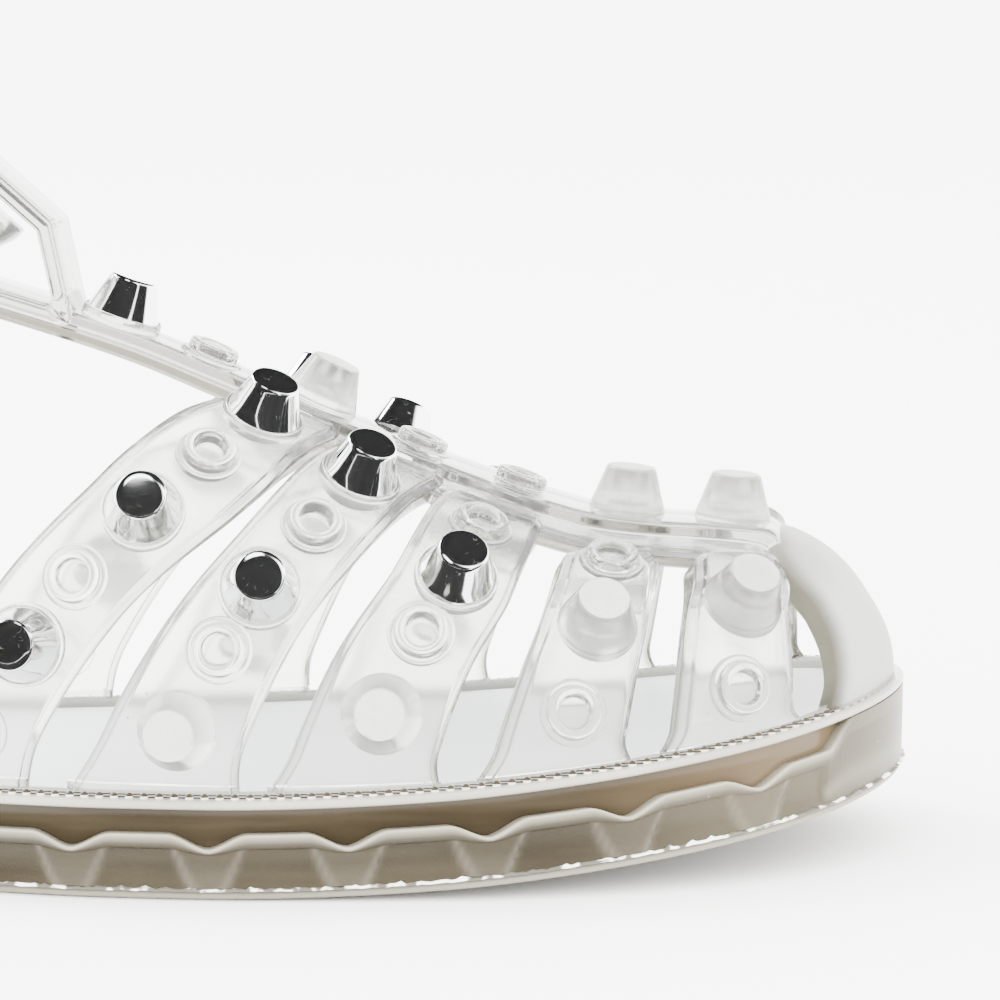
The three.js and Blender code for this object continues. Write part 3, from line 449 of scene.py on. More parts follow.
def smoke_pvc(name, dark, light, warm, pale, rough, relief):
    """Smoky plastic of the sole: streaked, and warmer and paler towards the toe, with painted highlights and
    painted light where its mark is set.
    """
    r = Recipe(name)
    along = r.node("ShaderNodeSeparateXYZ", {}, r.place)
    streak = r.noise(70, 3.0, (0.22, 0.22, 2.2))
    grain = r.noise(2600, 2.0)
    cloud = r.noise(26, 2.0, (0.5, 0.5, 1.5))
    tint = r.blend(r.between(0.35, 0.7, streak), dark, light)
    toe = r.between(0.078, 0.118, along + 0.012 * cloud)
    tint = r.blend(toe, tint, warm)
    # Painted highlights and painted light, in the tint given for them
    tint = r.blend(r.mark("pale"), tint, pale)
    marks = r.flecks(160, 0.03, 8.4)
    tint = r.blend(marks, tint, (0.35, 0.33, 0.28))
    normal = r.bump(0.5 * cloud + relief * grain, 0.3, 0.0006)
    return r.glassy(r.principled(Base_Color=tint, Roughness=rough + 0.12 * grain, Specular_IOR_Level=0.22,
                                 Normal=normal), (0.5, 0.46, 0.37))


def matt(name, scale, first, second):
    r = Recipe(name)
    tint = r.blend(r.noise(scale, 0.0), first, second)
    return r.surface(r.node("ShaderNodeBsdfDiffuse", {}, Color=tint))


CLEAR, FROSTED, SATIN, STUD_TOP = clear_pvc(), frosted_pvc(), satin_pvc(), stud_top_pvc()
CHROME, FOOTBED, FLASH = chrome(), footbed_pvc(), flash_pvc()
RIM = rim_pvc("rim_pvc", (0.42, 0.40, 0.345), (0.28, 0.26, 0.21))
BEAD = rim_pvc("bead_pvc", (0.85, 0.84, 0.8), (0.7, 0.69, 0.65))
# The fifth colour of each smoky plastic is the tint of its painted highlights and painted light
SMOKE_WALL = smoke_pvc("smoke_wall", (0.022, 0.0161, 0.0084), (0.047, 0.037, 0.0235), (0.088, 0.063, 0.036),
                       (0.1, 0.09, 0.07), 0.12, 0.05)
SMOKE_SOLE = smoke_pvc("smoke_sole", (0.021, 0.016, 0.0083), (0.038, 0.0305, 0.0175), (0.06, 0.05, 0.032),
                       (0.27, 0.25, 0.195), 0.3, 0.3)
BEAD_LINE = smoke_pvc("bead_line", (0.03, 0.021, 0.012), (0.045, 0.033, 0.02), (0.045, 0.033, 0.02),
                      (0.1, 0.08, 0.06), 0.2, 0.05)


# ---- Meshes -------------------------------------------------------------------------------------

def add_object(name, data):
    made = bpy.data.objects.new(name, data)
    bpy.context.scene.collection.objects.link(made)
    return made


def solid(name, points, faces, finishes, finish_of=None, sharp=35, **marks):
    """Closed mesh object from points in millimetres from the heel. Points that meet are welded.
    Each mark is a value for every point that the finishes read by its name: the painted highlight and painted
    light on the sole, the painted shade along edges, or inner for rougher back faces."""
    points = np.asarray(points, float).reshape(-1, 3)
    cells = np.round(points / 1e-3).astype(np.int64)
    _, first, back = np.unique(cells, axis=0, return_index=True, return_inverse=True)
    back = back.reshape(-1)
    kept, kinds = [], []
    for n, face in enumerate(faces):
        ring = [int(back[k]) for k in face]
        ring = [v for k, v in enumerate(ring) if v != ring[k - 1]]
        if len(ring) > 2 and len(set(ring)) == len(ring):
            kept.append(ring)
            kinds.append(finish_of[n] if finish_of is not None else 0)
    mesh = bpy.data.meshes.new(name)
    mesh.from_pydata(((points[first] - (LENGTH / 2, 0, 0)) * MM).tolist(), [], kept)
    for finish in finishes:
        mesh.materials.append(finish)
    mesh.polygons.foreach_set("material_index", kinds)
    for mark, values in marks.items():
        data = mesh.attributes.new(mark, "FLOAT", "POINT").data
        data.foreach_set("value", np.asarray(values, float)[first])
    work = bmesh.new()
    work.from_mesh(mesh)
    bmesh.ops.recalc_face_normals(work, faces=work.faces)
    work.to_mesh(mesh)
    work.free()
    soften(mesh, sharp)
    return add_object(name, mesh)


def soften(mesh, sharp):
    mesh.shade_smooth()
    mesh.set_sharp_from_angle(angle=math.radians(sharp))


def settle(piece, sharp=35):
    """Turns what the modifiers make into the piece's own mesh."""
    graph = bpy.context.evaluated_depsgraph_get()
    made = piece.evaluated_get(graph)
    mesh = bpy.data.meshes.new_from_object(made, preserve_all_data_layers=True, depsgraph=graph)
    piece.modifiers.clear()
    piece.data = mesh
    soften(mesh, sharp)
    return piece


def combine(base, operation, *tools):
    for tool in tools:
        step = base.modifiers.new("join", "BOOLEAN")
        step.operation, step.object = operation, tool
        step.solver, step.material_mode = "MANIFOLD", "TRANSFER"
    settle(base)
    for tool in tools:
        bpy.data.objects.remove(tool)
    return base


def loft(rings, closed=False):
    """Points and faces of a solid through rings of points, its two ends filled by ladders of quads."""
    rings = np.asarray(rings, float)
    levels, count = rings.shape[:2]
    faces = []
    for level in range(levels if closed else levels - 1):
        a, b = level * count, ((level + 1) % levels) * count
        faces += [(a + k, a + (k + 1) % count, b + (k + 1) % count, b + k) for k in range(count)]
    if not closed:
        for start in (0, (levels - 1) * count):
            faces += [(start + k, start + k + 1, start + count - k - 1, start + (count - k) % count)
                      for k in range(count // 2)]
    return rings.reshape(-1, 3), faces


def turns_of(count):
    return np.arange(count) / count * TURN


def lathe(profile, segments=40):
    """Rings of a solid turned about +Z, from (radius, height) pairs that start and end on the axis."""
    turns = turns_of(segments)
    return loft([np.stack([r * np.cos(turns), r * np.sin(turns), np.full(segments, z)], axis=-1)
                 for r, z in profile])


def rod(radius, reach, segments=30):
    """Plain round rod along Z, only ever a cutting tool."""
    return lathe([(0, -reach), (radius, -reach), (radius, reach), (0, reach)], segments)


def joined(shapes):
    """One list of points and faces from several."""
    points, faces, start = [], [], 0
    for shape_points, shape_faces in shapes:
        shape_points = np.asarray(shape_points).reshape(-1, 3)
        points.append(shape_points)
        faces += [tuple(start + k for k in face) for face in shape_faces]
        start += len(shape_points)
    return np.concatenate(points), faces


# Outer and inner edge of a strap: distance from its edge and depth under its face
STRAP_EDGE = [(0, -1.15), (0.0, -0.86), (0.1, -0.68), (0.35, -0.55), (1.05, -0.4), (1.15, -0.36),
              (1.3, -0.07), (1.4, -0.01), (1.8, 0)]
STRAP_BACK = [(0, -1.15), (0.0, -1.8), (0.06, -1.98), (0.12, -2.1), (0.24, -2.2), (0.4, -2.26), (0.8, -2.3),
              (1.2, -2.3), (1.8, -2.3)]
EDGE_DROP = curve([0, 0.12, 0.5, 1.0, 1.4, 3], [-0.86, -0.62, -0.36, -0.1, 0, 0])

# Painted shade of a strap by the distance from its edge, on its face and on its back
FACE_SHADE = curve([0, 0.1, 0.35, 1.05, 1.15, 1.3, 1.45, 1.8], [1, 0.85, 0.35, 0.18, 0.7, 0.8, 0.05, 0])
BACK_SHADE = curve([0, 0.4, 1.2, 1.8], [1, 0.5, 0.1, 0])


def strap_section(half, columns=9):
    """Across a strap of that half width: places and depths of its face and, in reverse, of its back."""
    reach = min(1, half / 3.0)
    inner = np.linspace(-half + 1.8 * reach, half - 1.8 * reach, columns)[1:-1]

    def row(edge):
        places = [-half + reach * e for e, _ in edge]
        depths = [d for _, d in edge]
        return (np.array([*places, *inner, *(-p for p in reversed(places))]),
                np.array([*depths, *[depths[-1]] * len(inner), *reversed(depths)]))

    (face_s, face_d), (back_s, back_d) = row(STRAP_EDGE), row(STRAP_BACK)
    return face_s, face_d, back_s[-2:0:-1], back_d[-2:0:-1]


def strap_marks(half=6.0):
    """Marks of the points of one strap section: painted shade near its edges, and which points lie on its
    back.
    """
    face_s, _, back_s, _ = strap_section(half)
    edge = np.concatenate([FACE_SHADE(half - np.abs(face_s)), BACK_SHADE(half - np.abs(back_s))])
    return {"edge": edge, "inner": np.concatenate([np.zeros(len(face_s)), np.ones(len(back_s))])}


def side_girth(girth, side):
    return girth if side < 0 else 2 - girth


def band_middle(name, side):
    (foot, low, mid, top), _, end, shift = BANDS[name]
    shift = shift if side > 0 else 0
    share = curve([0, 0.25, 0.5, end], [foot, low, mid + shift / 2, top + shift])
    return lambda girth: share(girth) * LENGTH


def band_lift(name, girth):
    return BAND_LIFT * smooth((girth / BANDS[name][2] - 0.62) / 0.18)


def band(name, side):
    _, widths, end, _ = BANDS[name]
    middle, width = band_middle(name, side), curve([0, 0.5, end], widths)
    shares = [*np.linspace(0, 0.12, 14, endpoint=False), *np.linspace(0.12, 0.88, 48, endpoint=False),
              *np.linspace(0.88, 0.975, 12, endpoint=False), *np.linspace(0.975, 1, 9)]
    rings = []
    for share in shares:
        girth = float(lerp(-0.012, end, share))
        flare = 1.8 * (1 - float(clamp01(girth / 0.07))) ** 2
        corner = float(clamp01((share - 0.9) / 0.1))
        half = (float(width(girth)) * LENGTH / 2 + flare) * (1 - 0.45 * (1 - math.sqrt(1 - corner * corner)))
        face_s, face_d, back_s, back_d = strap_section(half)
        lift = float(band_lift(name, girth))
        left = (1 - share) * (end + 0.012) * BAND_RUN
        face_d = np.minimum(face_d, EDGE_DROP(left)) + lift
        places = np.minimum(float(middle(girth)) + np.concatenate([face_s, back_s]), LENGTH - UPPER_INSET)
        rings.append(last_point(places, side_girth(girth, side), np.concatenate([face_d, back_d])))
    return loft(rings)


def plate_half(x):
    return lerp(SPINE_WIDTH, PLATE_WIDTH, smooth((x / LENGTH - 0.6) / 0.16)) / 2


def strip_half(x):
    return lerp(SPINE_WIDTH, TIP_WIDTH, smooth((x / LENGTH - 0.6) / 0.2)) / 2


def spine():
    """Centre strap: a plate that widens over the toes, with a raised strip along its middle."""
    rings, painted_edge_shades, inners = [], [], []
    for x in np.linspace(0.393 * LENGTH, 0.94 * LENGTH, 150):
        plate = float(plate_half(x))
        strip = min(float(strip_half(x)), plate - 0.6)
        reach = min(1.0, (plate - strip - 0.3) / 1.8)
        left = [(-plate + reach * e, d) for e, d in STRAP_EDGE]
        step = [(-0.28, 0.03), (-0.08, 0.18), (0.1, 0.6), (0.3, 1.2), (0.5, 1.48), (0.8, SPINE_STEP)]
        left += [(-strip + e, d) for e, d in step]
        left += [(s, SPINE_STEP) for s in np.linspace(-strip + 0.8, 0, 5)[1:-1]]
        face = [*left, (0, SPINE_STEP), *((-s, d) for s, d in reversed(left))]
        under = [(-plate + reach * e, d) for e, d in STRAP_BACK]
        rest = np.linspace(under[-1][0], 0, len(left) - len(under) + 1)[1:-1]
        under += [(s, -WALL) for s in rest]
        back = [*under, (0, -WALL), *((-s, d) for s, d in reversed(under))]
        section = np.array([*face, *back[-2:0:-1]])
        sunk = 2.2 * float(smooth((x / LENGTH - 0.912) / 0.028))
        rings.append(last_point(x, girth_at(x, section[:, 0]), np.maximum(section[:, 1] - sunk, -WALL)))
        # Painted shade near the plate's edges and along the foot of the raised strip
        from_edge, from_step = plate - np.abs(section[:, 0]), np.abs(np.abs(section[:, 0]) - strip + 0.2)
        on_face = np.arange(len(section)) < len(face)
        from_edge = np.minimum(from_edge, 1.8)
        shade = np.where(on_face, FACE_SHADE(from_edge), BACK_SHADE(from_edge))
        painted_edge_shades.append(np.maximum(shade, np.where(on_face, 0.8 * clamp01(1 - from_step / 0.6), 0)))
        inners.append(~on_face)
    return *loft(rings), np.concatenate(painted_edge_shades), np.concatenate(inners)


def toe_cap():
    edge = curve([row[0] for row in CAP_EDGE], [row[1] for row in CAP_EDGE])
    steps = np.array([0, 0, 0.004, 0.02, 0.04, 0.06, 0.085, *np.linspace(0.11, 1, 34)])
    outs = CAP_STEP + np.array([-1.9, -1.5, -1.1, -0.5, -0.16, -0.04, 0, *np.zeros(34)])
    insides = np.array([CAP_STEP - 1.9, -1.4, -1.85, -2.15, -2.25, -2.3, -2.3, *np.full(34, -WALL)])
    rings, painted_shades = [], []
    # Painted shade along the rear edge of the cap
    shade = np.array([1, 1, 1, 0.8, 0.5, 0.3, 0.15, *np.zeros(34)])
    for girth in np.linspace(0, 2, 121):
        start = float(upper_turn(float(edge(min(girth, 2 - girth))) * LENGTH))
        turns = lerp(start, math.pi, np.concatenate([steps, steps[-2:0:-1]]))
        points = last_at_turn(turns, girth, np.concatenate([outs, insides[-2:0:-1]]))
        points[:, 2] = np.maximum(points[:, 2], rim_z(points[:, 0]) + FIT)
        rings.append(points)
        painted_shades.append(np.concatenate([shade, shade[-2:0:-1]]))
    return *loft(rings), np.concatenate(painted_shades)


def even_columns(count):
    """Turn and side of places around the outline."""
    turns = np.concatenate([np.arange(count), np.arange(count, 0, -1)]) / count * math.pi
    sides = np.concatenate([np.full(count, -1), np.full(count, 1)])
    return turns, sides


def ring_at(columns, inset, height):
    """Ring around the sole. inset and height may vary from column to column; height is a function of x."""
    turns, sides = columns
    x, y = outline_point(turns, sides, inset)
    return np.stack([x, y, height(x)], axis=-1)


def rim_rings(columns, section):
    """Rings around the sole from pairs of inset and height over the rim."""
    return [ring_at(columns, inset, lambda x, up=up: rim_z(x) + up) for inset, up in section]


def foot_ring():
    section = [(2.6, -2.9), (2.6, 0.4), (2.7, 0.6), (2.95, 0.72), (3.7, 0.78), (4.6, 0.72), (4.9, 0.5),
               (4.9, -2.9)]
    return loft(rim_rings(even_columns(150), section), closed=True)


def collar_z(angle):
    k = 1 - np.cos(np.radians(angle))
    return RIM_HEIGHT + INSTEP_RISE * (0.83 + 0.1 * k + 0.0375 * k * k)


def collar_point(angle, side, out):
    middle, reach = (COLLAR_FRONT + COLLAR_BACK) / 2, (COLLAR_FRONT - COLLAR_BACK) / 2
    a = math.radians(angle)
    return np.array([middle - (reach + out) * math.cos(a), side * (COLLAR_WIDTH + out) * math.sin(a),
                     float(collar_z(angle))])


def collar_frame(angle, side, out):
    """Point on the collar line with its directions along, across and outwards."""
    along = unit(collar_point(angle + 0.5, side, out) - collar_point(angle - 0.5, side, out))
    lean = float(smooth((angle - 105) / 75))
    wide = np.array([lerp(-0.1, -0.743, lean), 0, lerp(0.995, 0.669, lean)])
    outward = unit(-side * np.cross(along, wide))
    across = unit(-side * np.cross(outward, along))
    return collar_point(angle, side, out), along, across, outward


def heel_counter():
    stops = np.linspace(0, 1, len(COUNTER_UP))
    reach, up = curve(stops, COUNTER_REACH), curve(stops, COUNTER_UP)
    levels = np.array([0, *np.linspace(0, 0.97, 50), 0.985, 0.993, 0.998, 1.0, 1.0])
    face = np.array([-0.6, *np.zeros(50), -0.1, -0.3, -0.55, -0.86, -1.15])
    back = np.array([-0.6, *np.full(50, -WALL), -2.25, -2.15, -1.95, -1.7, -1.15])
    order = np.concatenate([np.arange(len(levels)), np.arange(len(levels) - 2, 0, -1)])
    outs = np.concatenate([face, back[-2:0:-1]])
    on_face = np.concatenate([np.ones(len(levels)), np.zeros(len(levels) - 2)])
    edge = np.array([0, 0.0015, 0.006, 0.012, 0.018])
    shares = np.concatenate([edge, np.linspace(0.025, 0.975, 90), 1 - edge[::-1]])
    rings = []
    for share in shares:
        side = -1 if share < 0.5 else 1
        drop = float(EDGE_DROP(min(share, 1 - share) * COUNTER_RUN))
        ring = []
        for k, out, front in zip(order, outs, on_face):
            out = min(out, drop) if front else max(out, -WALL - drop)
            step = levels[k]
            angle = abs(2 * share - 1) * float(reach(step))
            level = float(up(step))
            collar = collar_point(angle, side, out)
            start = UPPER_INSET - out
            x = collar[0] - COLLAR_BACK + UPPER_INSET
            turn = turn_of((x - start) / (LENGTH - 2 * start))
            foot_x, foot_y = outline_point(turn, side, start)
            k = float(smooth(min(level, 1)))
            top = collar[2] - ANKLE_WIDTH / 2 + max(0, level - 1) * ANKLE_WIDTH
            z = top if level > 1 else lerp(float(rim_z(x)) + FIT / 2, top, min(level, 1))
            ring.append((lerp(float(foot_x), collar[0], k), lerp(float(foot_y), collar[1], k), z))
        rings.append(ring)
    return loft(rings)


def rounded(corners, radius, steps=6):
    """Outline with its corners rounded off."""
    corners = np.asarray(corners, float)
    points = []
    for k, corner in enumerate(corners):
        before, after = unit(corners[k - 1] - corner), unit(corners[(k + 1) % len(corners)] - corner)
        half = math.acos(float(np.clip(before @ after, -1, 1))) / 2
        start, end = corner + before * radius / math.tan(half), corner + after * radius / math.tan(half)
        for u in np.linspace(0, 1, steps):
            points.append((1 - u) ** 2 * start + 2 * u * (1 - u) * corner + u * u * end)
    return np.array(points)


def drawn_in(corners, distance):
    """Polygon drawn in by an even distance."""
    corners = np.asarray(corners, float)
    after = np.roll(corners, -1, axis=0)
    turn = np.sign(np.sum(corners[:, 0] * after[:, 1] - corners[:, 1] * after[:, 0]))
    along = (after - corners) / np.linalg.norm(after - corners, axis=1)[:, None]
    shifted = corners + turn * distance * np.stack([-along[:, 1], along[:, 0]], axis=-1)
    points = []
    for k in range(len(corners)):
        p, d, q, e = shifted[k - 1], along[k - 1], shifted[k], along[k]
        gap = q - p
        points.append(p + d * ((gap[0] * e[1] - gap[1] * e[0]) / (d[0] * e[1] - d[1] * e[0])))
    return np.array(points)


def keeper():
    """Loop on the upper end of the centre strap, through which the ankle strap runs."""
    base, rear = last_point(0.505 * LENGTH, 1, 0)[0], last_point(0.398 * LENGTH, 1, 0)[0]
    loop, slope = ANKLE_WIDTH + 2 * KEEPER_WALL + KEEPER_PLAY, math.radians(KEEPER_SLOPE)
    front = np.array([base[0] - 3.2, base[2] + 15.2])
    corners = [(base[0], base[2] - 1), front,
               front + loop * np.array([-math.cos(slope), math.sin(slope)]), (rear[0], rear[2] - 1)]
    edge = [(0.45, -1), (0.12, -0.96), (0, -0.9), (0, 0.9), (0.12, 0.96), (0.45, 1)]
    rings = []
    for inset, place, radius in ([(inset, place, 1.6) for inset, place in edge]
                                 + [(KEEPER_WALL - inset, place, 1.0) for inset, place in reversed(edge)]):
        flat = rounded(drawn_in(corners, inset), radius)
        rings.append([(x, place * SPINE_WIDTH / 2, z) for x, z in flat])
    # Painted shade, darkest near the keeper's edges
    painted_shades = np.repeat([0.5, 0.8, 0.25, 0.25, 0.8, 0.5, 0.5, 0.8, 0.3, 0.3, 0.8, 0.5], len(rings[0]))
    return *loft(rings, closed=True), painted_shades


def mounted(name, shape, place, finish):
    """Solid of a shape turned so that x runs along, y across and z outwards at that place."""
    point, along, across, outward = place
    if np.dot(np.cross(along, across), outward) < 0:
        across = -across
    points, faces = shape
    turn = np.stack([along, across, outward], axis=-1)
    return solid(name, point + np.asarray(points).reshape(-1, 3) @ turn.T, faces, [finish])


def block(size, centre):
    """Plain box, only ever a cutting tool."""
    corners = np.array([(x, y, z) for z in (-1, 1) for x, y in ((-1, -1), (1, -1), (1, 1), (-1, 1))]) / 2
    rings = (corners * size + centre).reshape(2, 4, 3)
    return loft(rings)


def along_y(shape):
    points, faces = shape
    return np.asarray(points).reshape(-1, 3)[:, [0, 2, 1]], faces


HINGE = collar_frame(HINGE_ANGLE, -1, -WALL / 2)


def buckle_frame():
    """Place of the buckle: the hinge, tilted so that the frame lies against the strap."""
    point, along, across, outward = HINGE
    tilt = math.radians(BUCKLE_TILT)
    along = along * math.cos(tilt) + outward * math.sin(tilt)
    normal = unit(np.cross(along, across))
    return point, along, across, normal if normal @ outward > 0 else -normal


def rivet_frame():
    return collar_frame(RIVET_ANGLE, 1, 0)


# ---- Repeats ------------------------------------------------------------------------------------

def placing_tree():
    """Sets a shape on every point of a carrier, its axis along the point's outward direction."""
    tree = bpy.data.node_groups.new("shapes_on_points", "GeometryNodeTree")
    sockets = {"Carrier": "Geometry", "Shape": "Object", "Finish": "Material", "Top finish": "Material"}
    for name, kind in sockets.items():
        tree.interface.new_socket(name, in_out="INPUT", socket_type="NodeSocket" + kind)
    tree.interface.new_socket("Placed", in_out="OUTPUT", socket_type="NodeSocketGeometry")

    def add(kind, settings, **inputs):
        node = tree.nodes.new(kind)
        for key, value in settings.items():
            setattr(node, key, value)
        for key, value in inputs.items():
            if isinstance(value, bpy.types.NodeSocket):
                tree.links.new(value, node.inputs[key])
            else:
                node.inputs[key].default_value = value
        return node.outputs

    def read(name, kind):
        return add("GeometryNodeInputNamedAttribute", {"data_type": kind}, Name=name)["Attribute"]

    align = "FunctionNodeAlignRotationToVector"
    into = add("NodeGroupInput", {})
    shape = add("GeometryNodeObjectInfo", {}, Object=into["Shape"])["Geometry"]
    turn = add(align, {"axis": "Z"}, Vector=read("outward", "FLOAT_VECTOR"))["Rotation"]
    turn = add(align, {"axis": "X", "pivot_axis": "Z"}, Rotation=turn,
               Vector=read("lengthwise", "FLOAT_VECTOR"))["Rotation"]
    made = add("GeometryNodeInstanceOnPoints", {}, Points=into["Carrier"], Instance=shape,
               Rotation=turn)["Instances"]
    made = add("GeometryNodeRealizeInstances", {}, Geometry=made)["Geometry"]
    made = add("GeometryNodeSetMaterial", {}, Geometry=made, Material=into["Finish"])["Geometry"]
    made = add("GeometryNodeSetMaterial", {}, Geometry=made, Material=into["Top finish"],
               Selection=read("top", "BOOLEAN"))["Geometry"]
    add("NodeGroupOutput", {}, Placed=made)
    return tree


PLACING = placing_tree()


def on_points(name, spots, shape, finish, top_finish, top_above=None, sharp=35, **marks):
    """Piece made of one shape at many spots, each a point, an outward and a lengthwise direction."""
    pattern = solid(name + "_shape", *shape, [finish], sharp=sharp, **marks)
    pattern.data.transform(Matrix.Translation((LENGTH / 2 * MM, 0, 0)))
    tops = pattern.data.attributes.new("top", "BOOLEAN", "FACE")
    for face in pattern.data.polygons:
        height = min(pattern.data.vertices[v].co.z for v in face.vertices)
        tops.data[face.index].value = top_above is not None and height > top_above * MM
    carrier = bpy.data.meshes.new(name)
    carrier.from_pydata([((spot[0] - (LENGTH / 2, 0, 0)) * MM).tolist() for spot in spots], [], [])
    for key, part in (("outward", 1), ("lengthwise", 2)):
        data = carrier.attributes.new(key, "FLOAT_VECTOR", "POINT").data
        for item, spot in zip(data, spots):
            item.vector = spot[part].tolist()
    piece = add_object(name, carrier)
    step = piece.modifiers.new("place", "NODES")
    step.node_group = PLACING
    values = {"Shape": pattern, "Finish": finish, "Top finish": top_finish}
    for item in PLACING.interface.items_tree:
        if item.in_out == "INPUT" and item.name in values:
            step[item.identifier] = values[item.name]
    settle(piece, sharp)
    bpy.data.objects.remove(pattern)
    return piece


def trims():
    """Every stud and ring boss: kind, point, outward direction and lengthwise direction."""
    found = []
    for name, row in BAND_TRIMS.items():
        for side in (-1, 1):
            middle = band_middle(name, side)
            for girth, kind in row:
                point, normal = last_frame(float(middle(girth)), side_girth(girth, side))
                found.append((kind, point + normal * float(band_lift(name, girth)), normal))
    for share, kind in SPINE_TRIMS:
        point, normal = last_frame(share * LENGTH, 1)
        found.append((kind, point + normal * SPINE_STEP, normal))
    return [(kind, point, normal, np.array([1.0, 0, 0])) for kind, point, normal in found]


# Profiles of the turned fittings (radius, height), and the painted shade on them from point to point
RING_BOSS = [(0, -1.2), (4.9, -1.2), (4.9, 0.1), (4.82, 0.3), (4.6, 0.42), (4.3, 0.45), (4.0, 0.46),
             (3.92, 0.6), (3.9, 1.5), (3.82, 1.85), (3.62, 2.04), (3.35, 2.1), (2.9, 2.1), (2.65, 2.04),
             (2.48, 1.85), (2.42, 1.5), (2.4, 0.35), (2.2, 0.12), (1.9, 0.08), (0, 0.08)]
RING_SHADE = [0, 0, 0.5, 0.5, 0.1, 0, 0.3, 0.6, 0.35, 0.2, 0.1, 0, 0, 0.2, 0.5, 0.7, 0.8, 0.4, 0.05, 0]
CLEAR_STUD = [(0, -1.2), (5.9, -1.2), (5.9, 0.1), (5.85, 0.25), (5.75, 0.4), (5.72, 0.7), (5.68, 0.95),
              (5.55, 1.25), (4.98, 2.9), (4.35, 4.9), (3.84, 6.5), (3.72, 6.78), (3.5, 6.95), (3.3, 7.0),
              (0, 7.0)]
STUD_SHADE = [0, 0, 0.1, 0.1, 0.2, 0.3, 0.1, 0, 0.1, 0.45, 0.75, 0.5, 0.1, 0, 0]
COLLAR = [(0, -1.2), (6.15, -1.2), (6.15, 0.6), (6.1, 1.05), (5.98, 1.3), (5.85, 1.36), (5.8, 1.25),
          (5.8, 0.22), (0, 0.22)]
CHROME_STUD = [(0, 0.3), (5.5, 0.3), (5.68, 0.4), (5.72, 0.7), (5.7, 0.95), (5.6, 1.2), (5.5, 1.4),
               (5.0, 2.75), (4.34, 4.75), (3.82, 6.3), (3.72, 6.62), (3.58, 6.82), (3.35, 6.94),
               (2.5, 6.99), (0, 7.0)]


def cage():
    body = solid("cage", *foot_ring(), [FROSTED])
    straps = joined([band(name, side) for name in BANDS for side in (-1, 1)])
    across = strap_marks()
    strap_rows = len(straps[0]) // len(across["edge"])
    spine_points, spine_faces, spine_painted_shade, spine_inner = spine()
    cap_points, cap_faces, cap_painted_shade = toe_cap()
    keeper_points, keeper_faces, keeper_painted_shade = keeper()
    reach = ANKLE_WIDTH / 2
    barrel = along_y(lathe([(0, -reach), (BARREL - 0.3, -reach), (BARREL, 0.3 - reach), (BARREL, reach - 0.3),
                            (BARREL - 0.3, reach), (0, reach)], 36))
    placed = {kind: [spot[1:] for spot in trims() if spot[0] == kind] for kind in ("ring", "clear", "chrome")}
    tools = [
        solid("bands", *straps, [CLEAR], **{key: np.tile(row, strap_rows) for key, row in across.items()}),
        solid("centre_strap", spine_points, spine_faces, [CLEAR], edge=spine_painted_shade, inner=spine_inner),
        solid("toe_cap", cap_points, cap_faces, [FROSTED], edge=cap_painted_shade),
        solid("counter", *heel_counter(), [CLEAR]),
        solid("keeper", keeper_points, keeper_faces, [CLEAR], edge=keeper_painted_shade),
        mounted("barrel", barrel, HINGE, CLEAR),
        on_points("rings", placed["ring"], lathe(RING_BOSS), CLEAR, CLEAR, edge=np.repeat(RING_SHADE, 40)),
        on_points("clear_studs", placed["clear"], lathe(CLEAR_STUD), SATIN, STUD_TOP, 6.9,
                  edge=np.repeat(STUD_SHADE, 40)),
        on_points("stud_collars", placed["chrome"], lathe(COLLAR), CLEAR, CLEAR),
    ]
    combine(body, "UNION", *tools)
    bar = BUCKLE_BAR / 2 + FIT * 2
    bore = along_y(rod(bar, ANKLE_WIDTH))
    gap = block((BARREL * 3, PRONG_WIDTH + 2 * FIT, BARREL * 3), (0, 0, 0))
    hole = rod(RIVET_HOLE, 20)
    combine(body, "DIFFERENCE", mounted("bore", bore, HINGE, CLEAR),
            mounted("prong_gap", gap, HINGE, CLEAR),
            mounted("rivet_hole", hole, rivet_frame(), CLEAR))
    return body, placed["chrome"]


# ---- Sole ---------------------------------------------------------------------------------------

def wave_columns():
    """Columns around the sole: turn, side, share of the dip, distance from its middle, share of the
    smooth toe and place along the edge."""
    fine = np.linspace(0, math.pi, 3001)
    parts = []
    for side in (-1, 1):
        x, y = outline_point(fine, side, 0.0)
        run = np.concatenate([[0], np.cumsum(np.hypot(np.diff(x), np.diff(y)))])
        relief = float(np.interp(turn_of(RELIEF_END), fine, run))
        waved = np.arange(WAVES * WAVE_COLUMNS) / WAVE_COLUMNS
        shares = np.concatenate([[0, 0.012], np.linspace(0.025, 1, 23, endpoint=False)])
        rest = relief + (run[-1] - relief) * shares
        lengths = np.concatenate([waved * (relief / WAVES), rest])
        phase = np.concatenate([waved % 1 - DIP_PHASE, np.full(len(rest), 0.5)])
        toe = np.concatenate([np.zeros(len(waved)), np.ones(len(rest))])
        toe *= np.maximum(0.001, smooth((lengths - relief) / 5.0))
        parts.append((np.interp(lengths, run, fine), np.full(len(lengths), side), phase, toe, lengths))
    last = [np.array([value]) for value in (math.pi, -1, 0.5, 1.0, parts[0][4][-1] + 1)]
    lateral, medial = parts
    columns = [np.concatenate([a, b, c[:0:-1]]) for a, b, c in zip(lateral, last, medial)]
    turn, side, phase, toe, length = columns
    gap = np.abs(phase)
    rise = clamp01(gap / DIP_REACH)
    dip = (1 - lerp(smooth(rise), rise, 0.3)) * (toe == 0)
    return turn, side, dip, gap * WAVE_LENGTH, toe, length


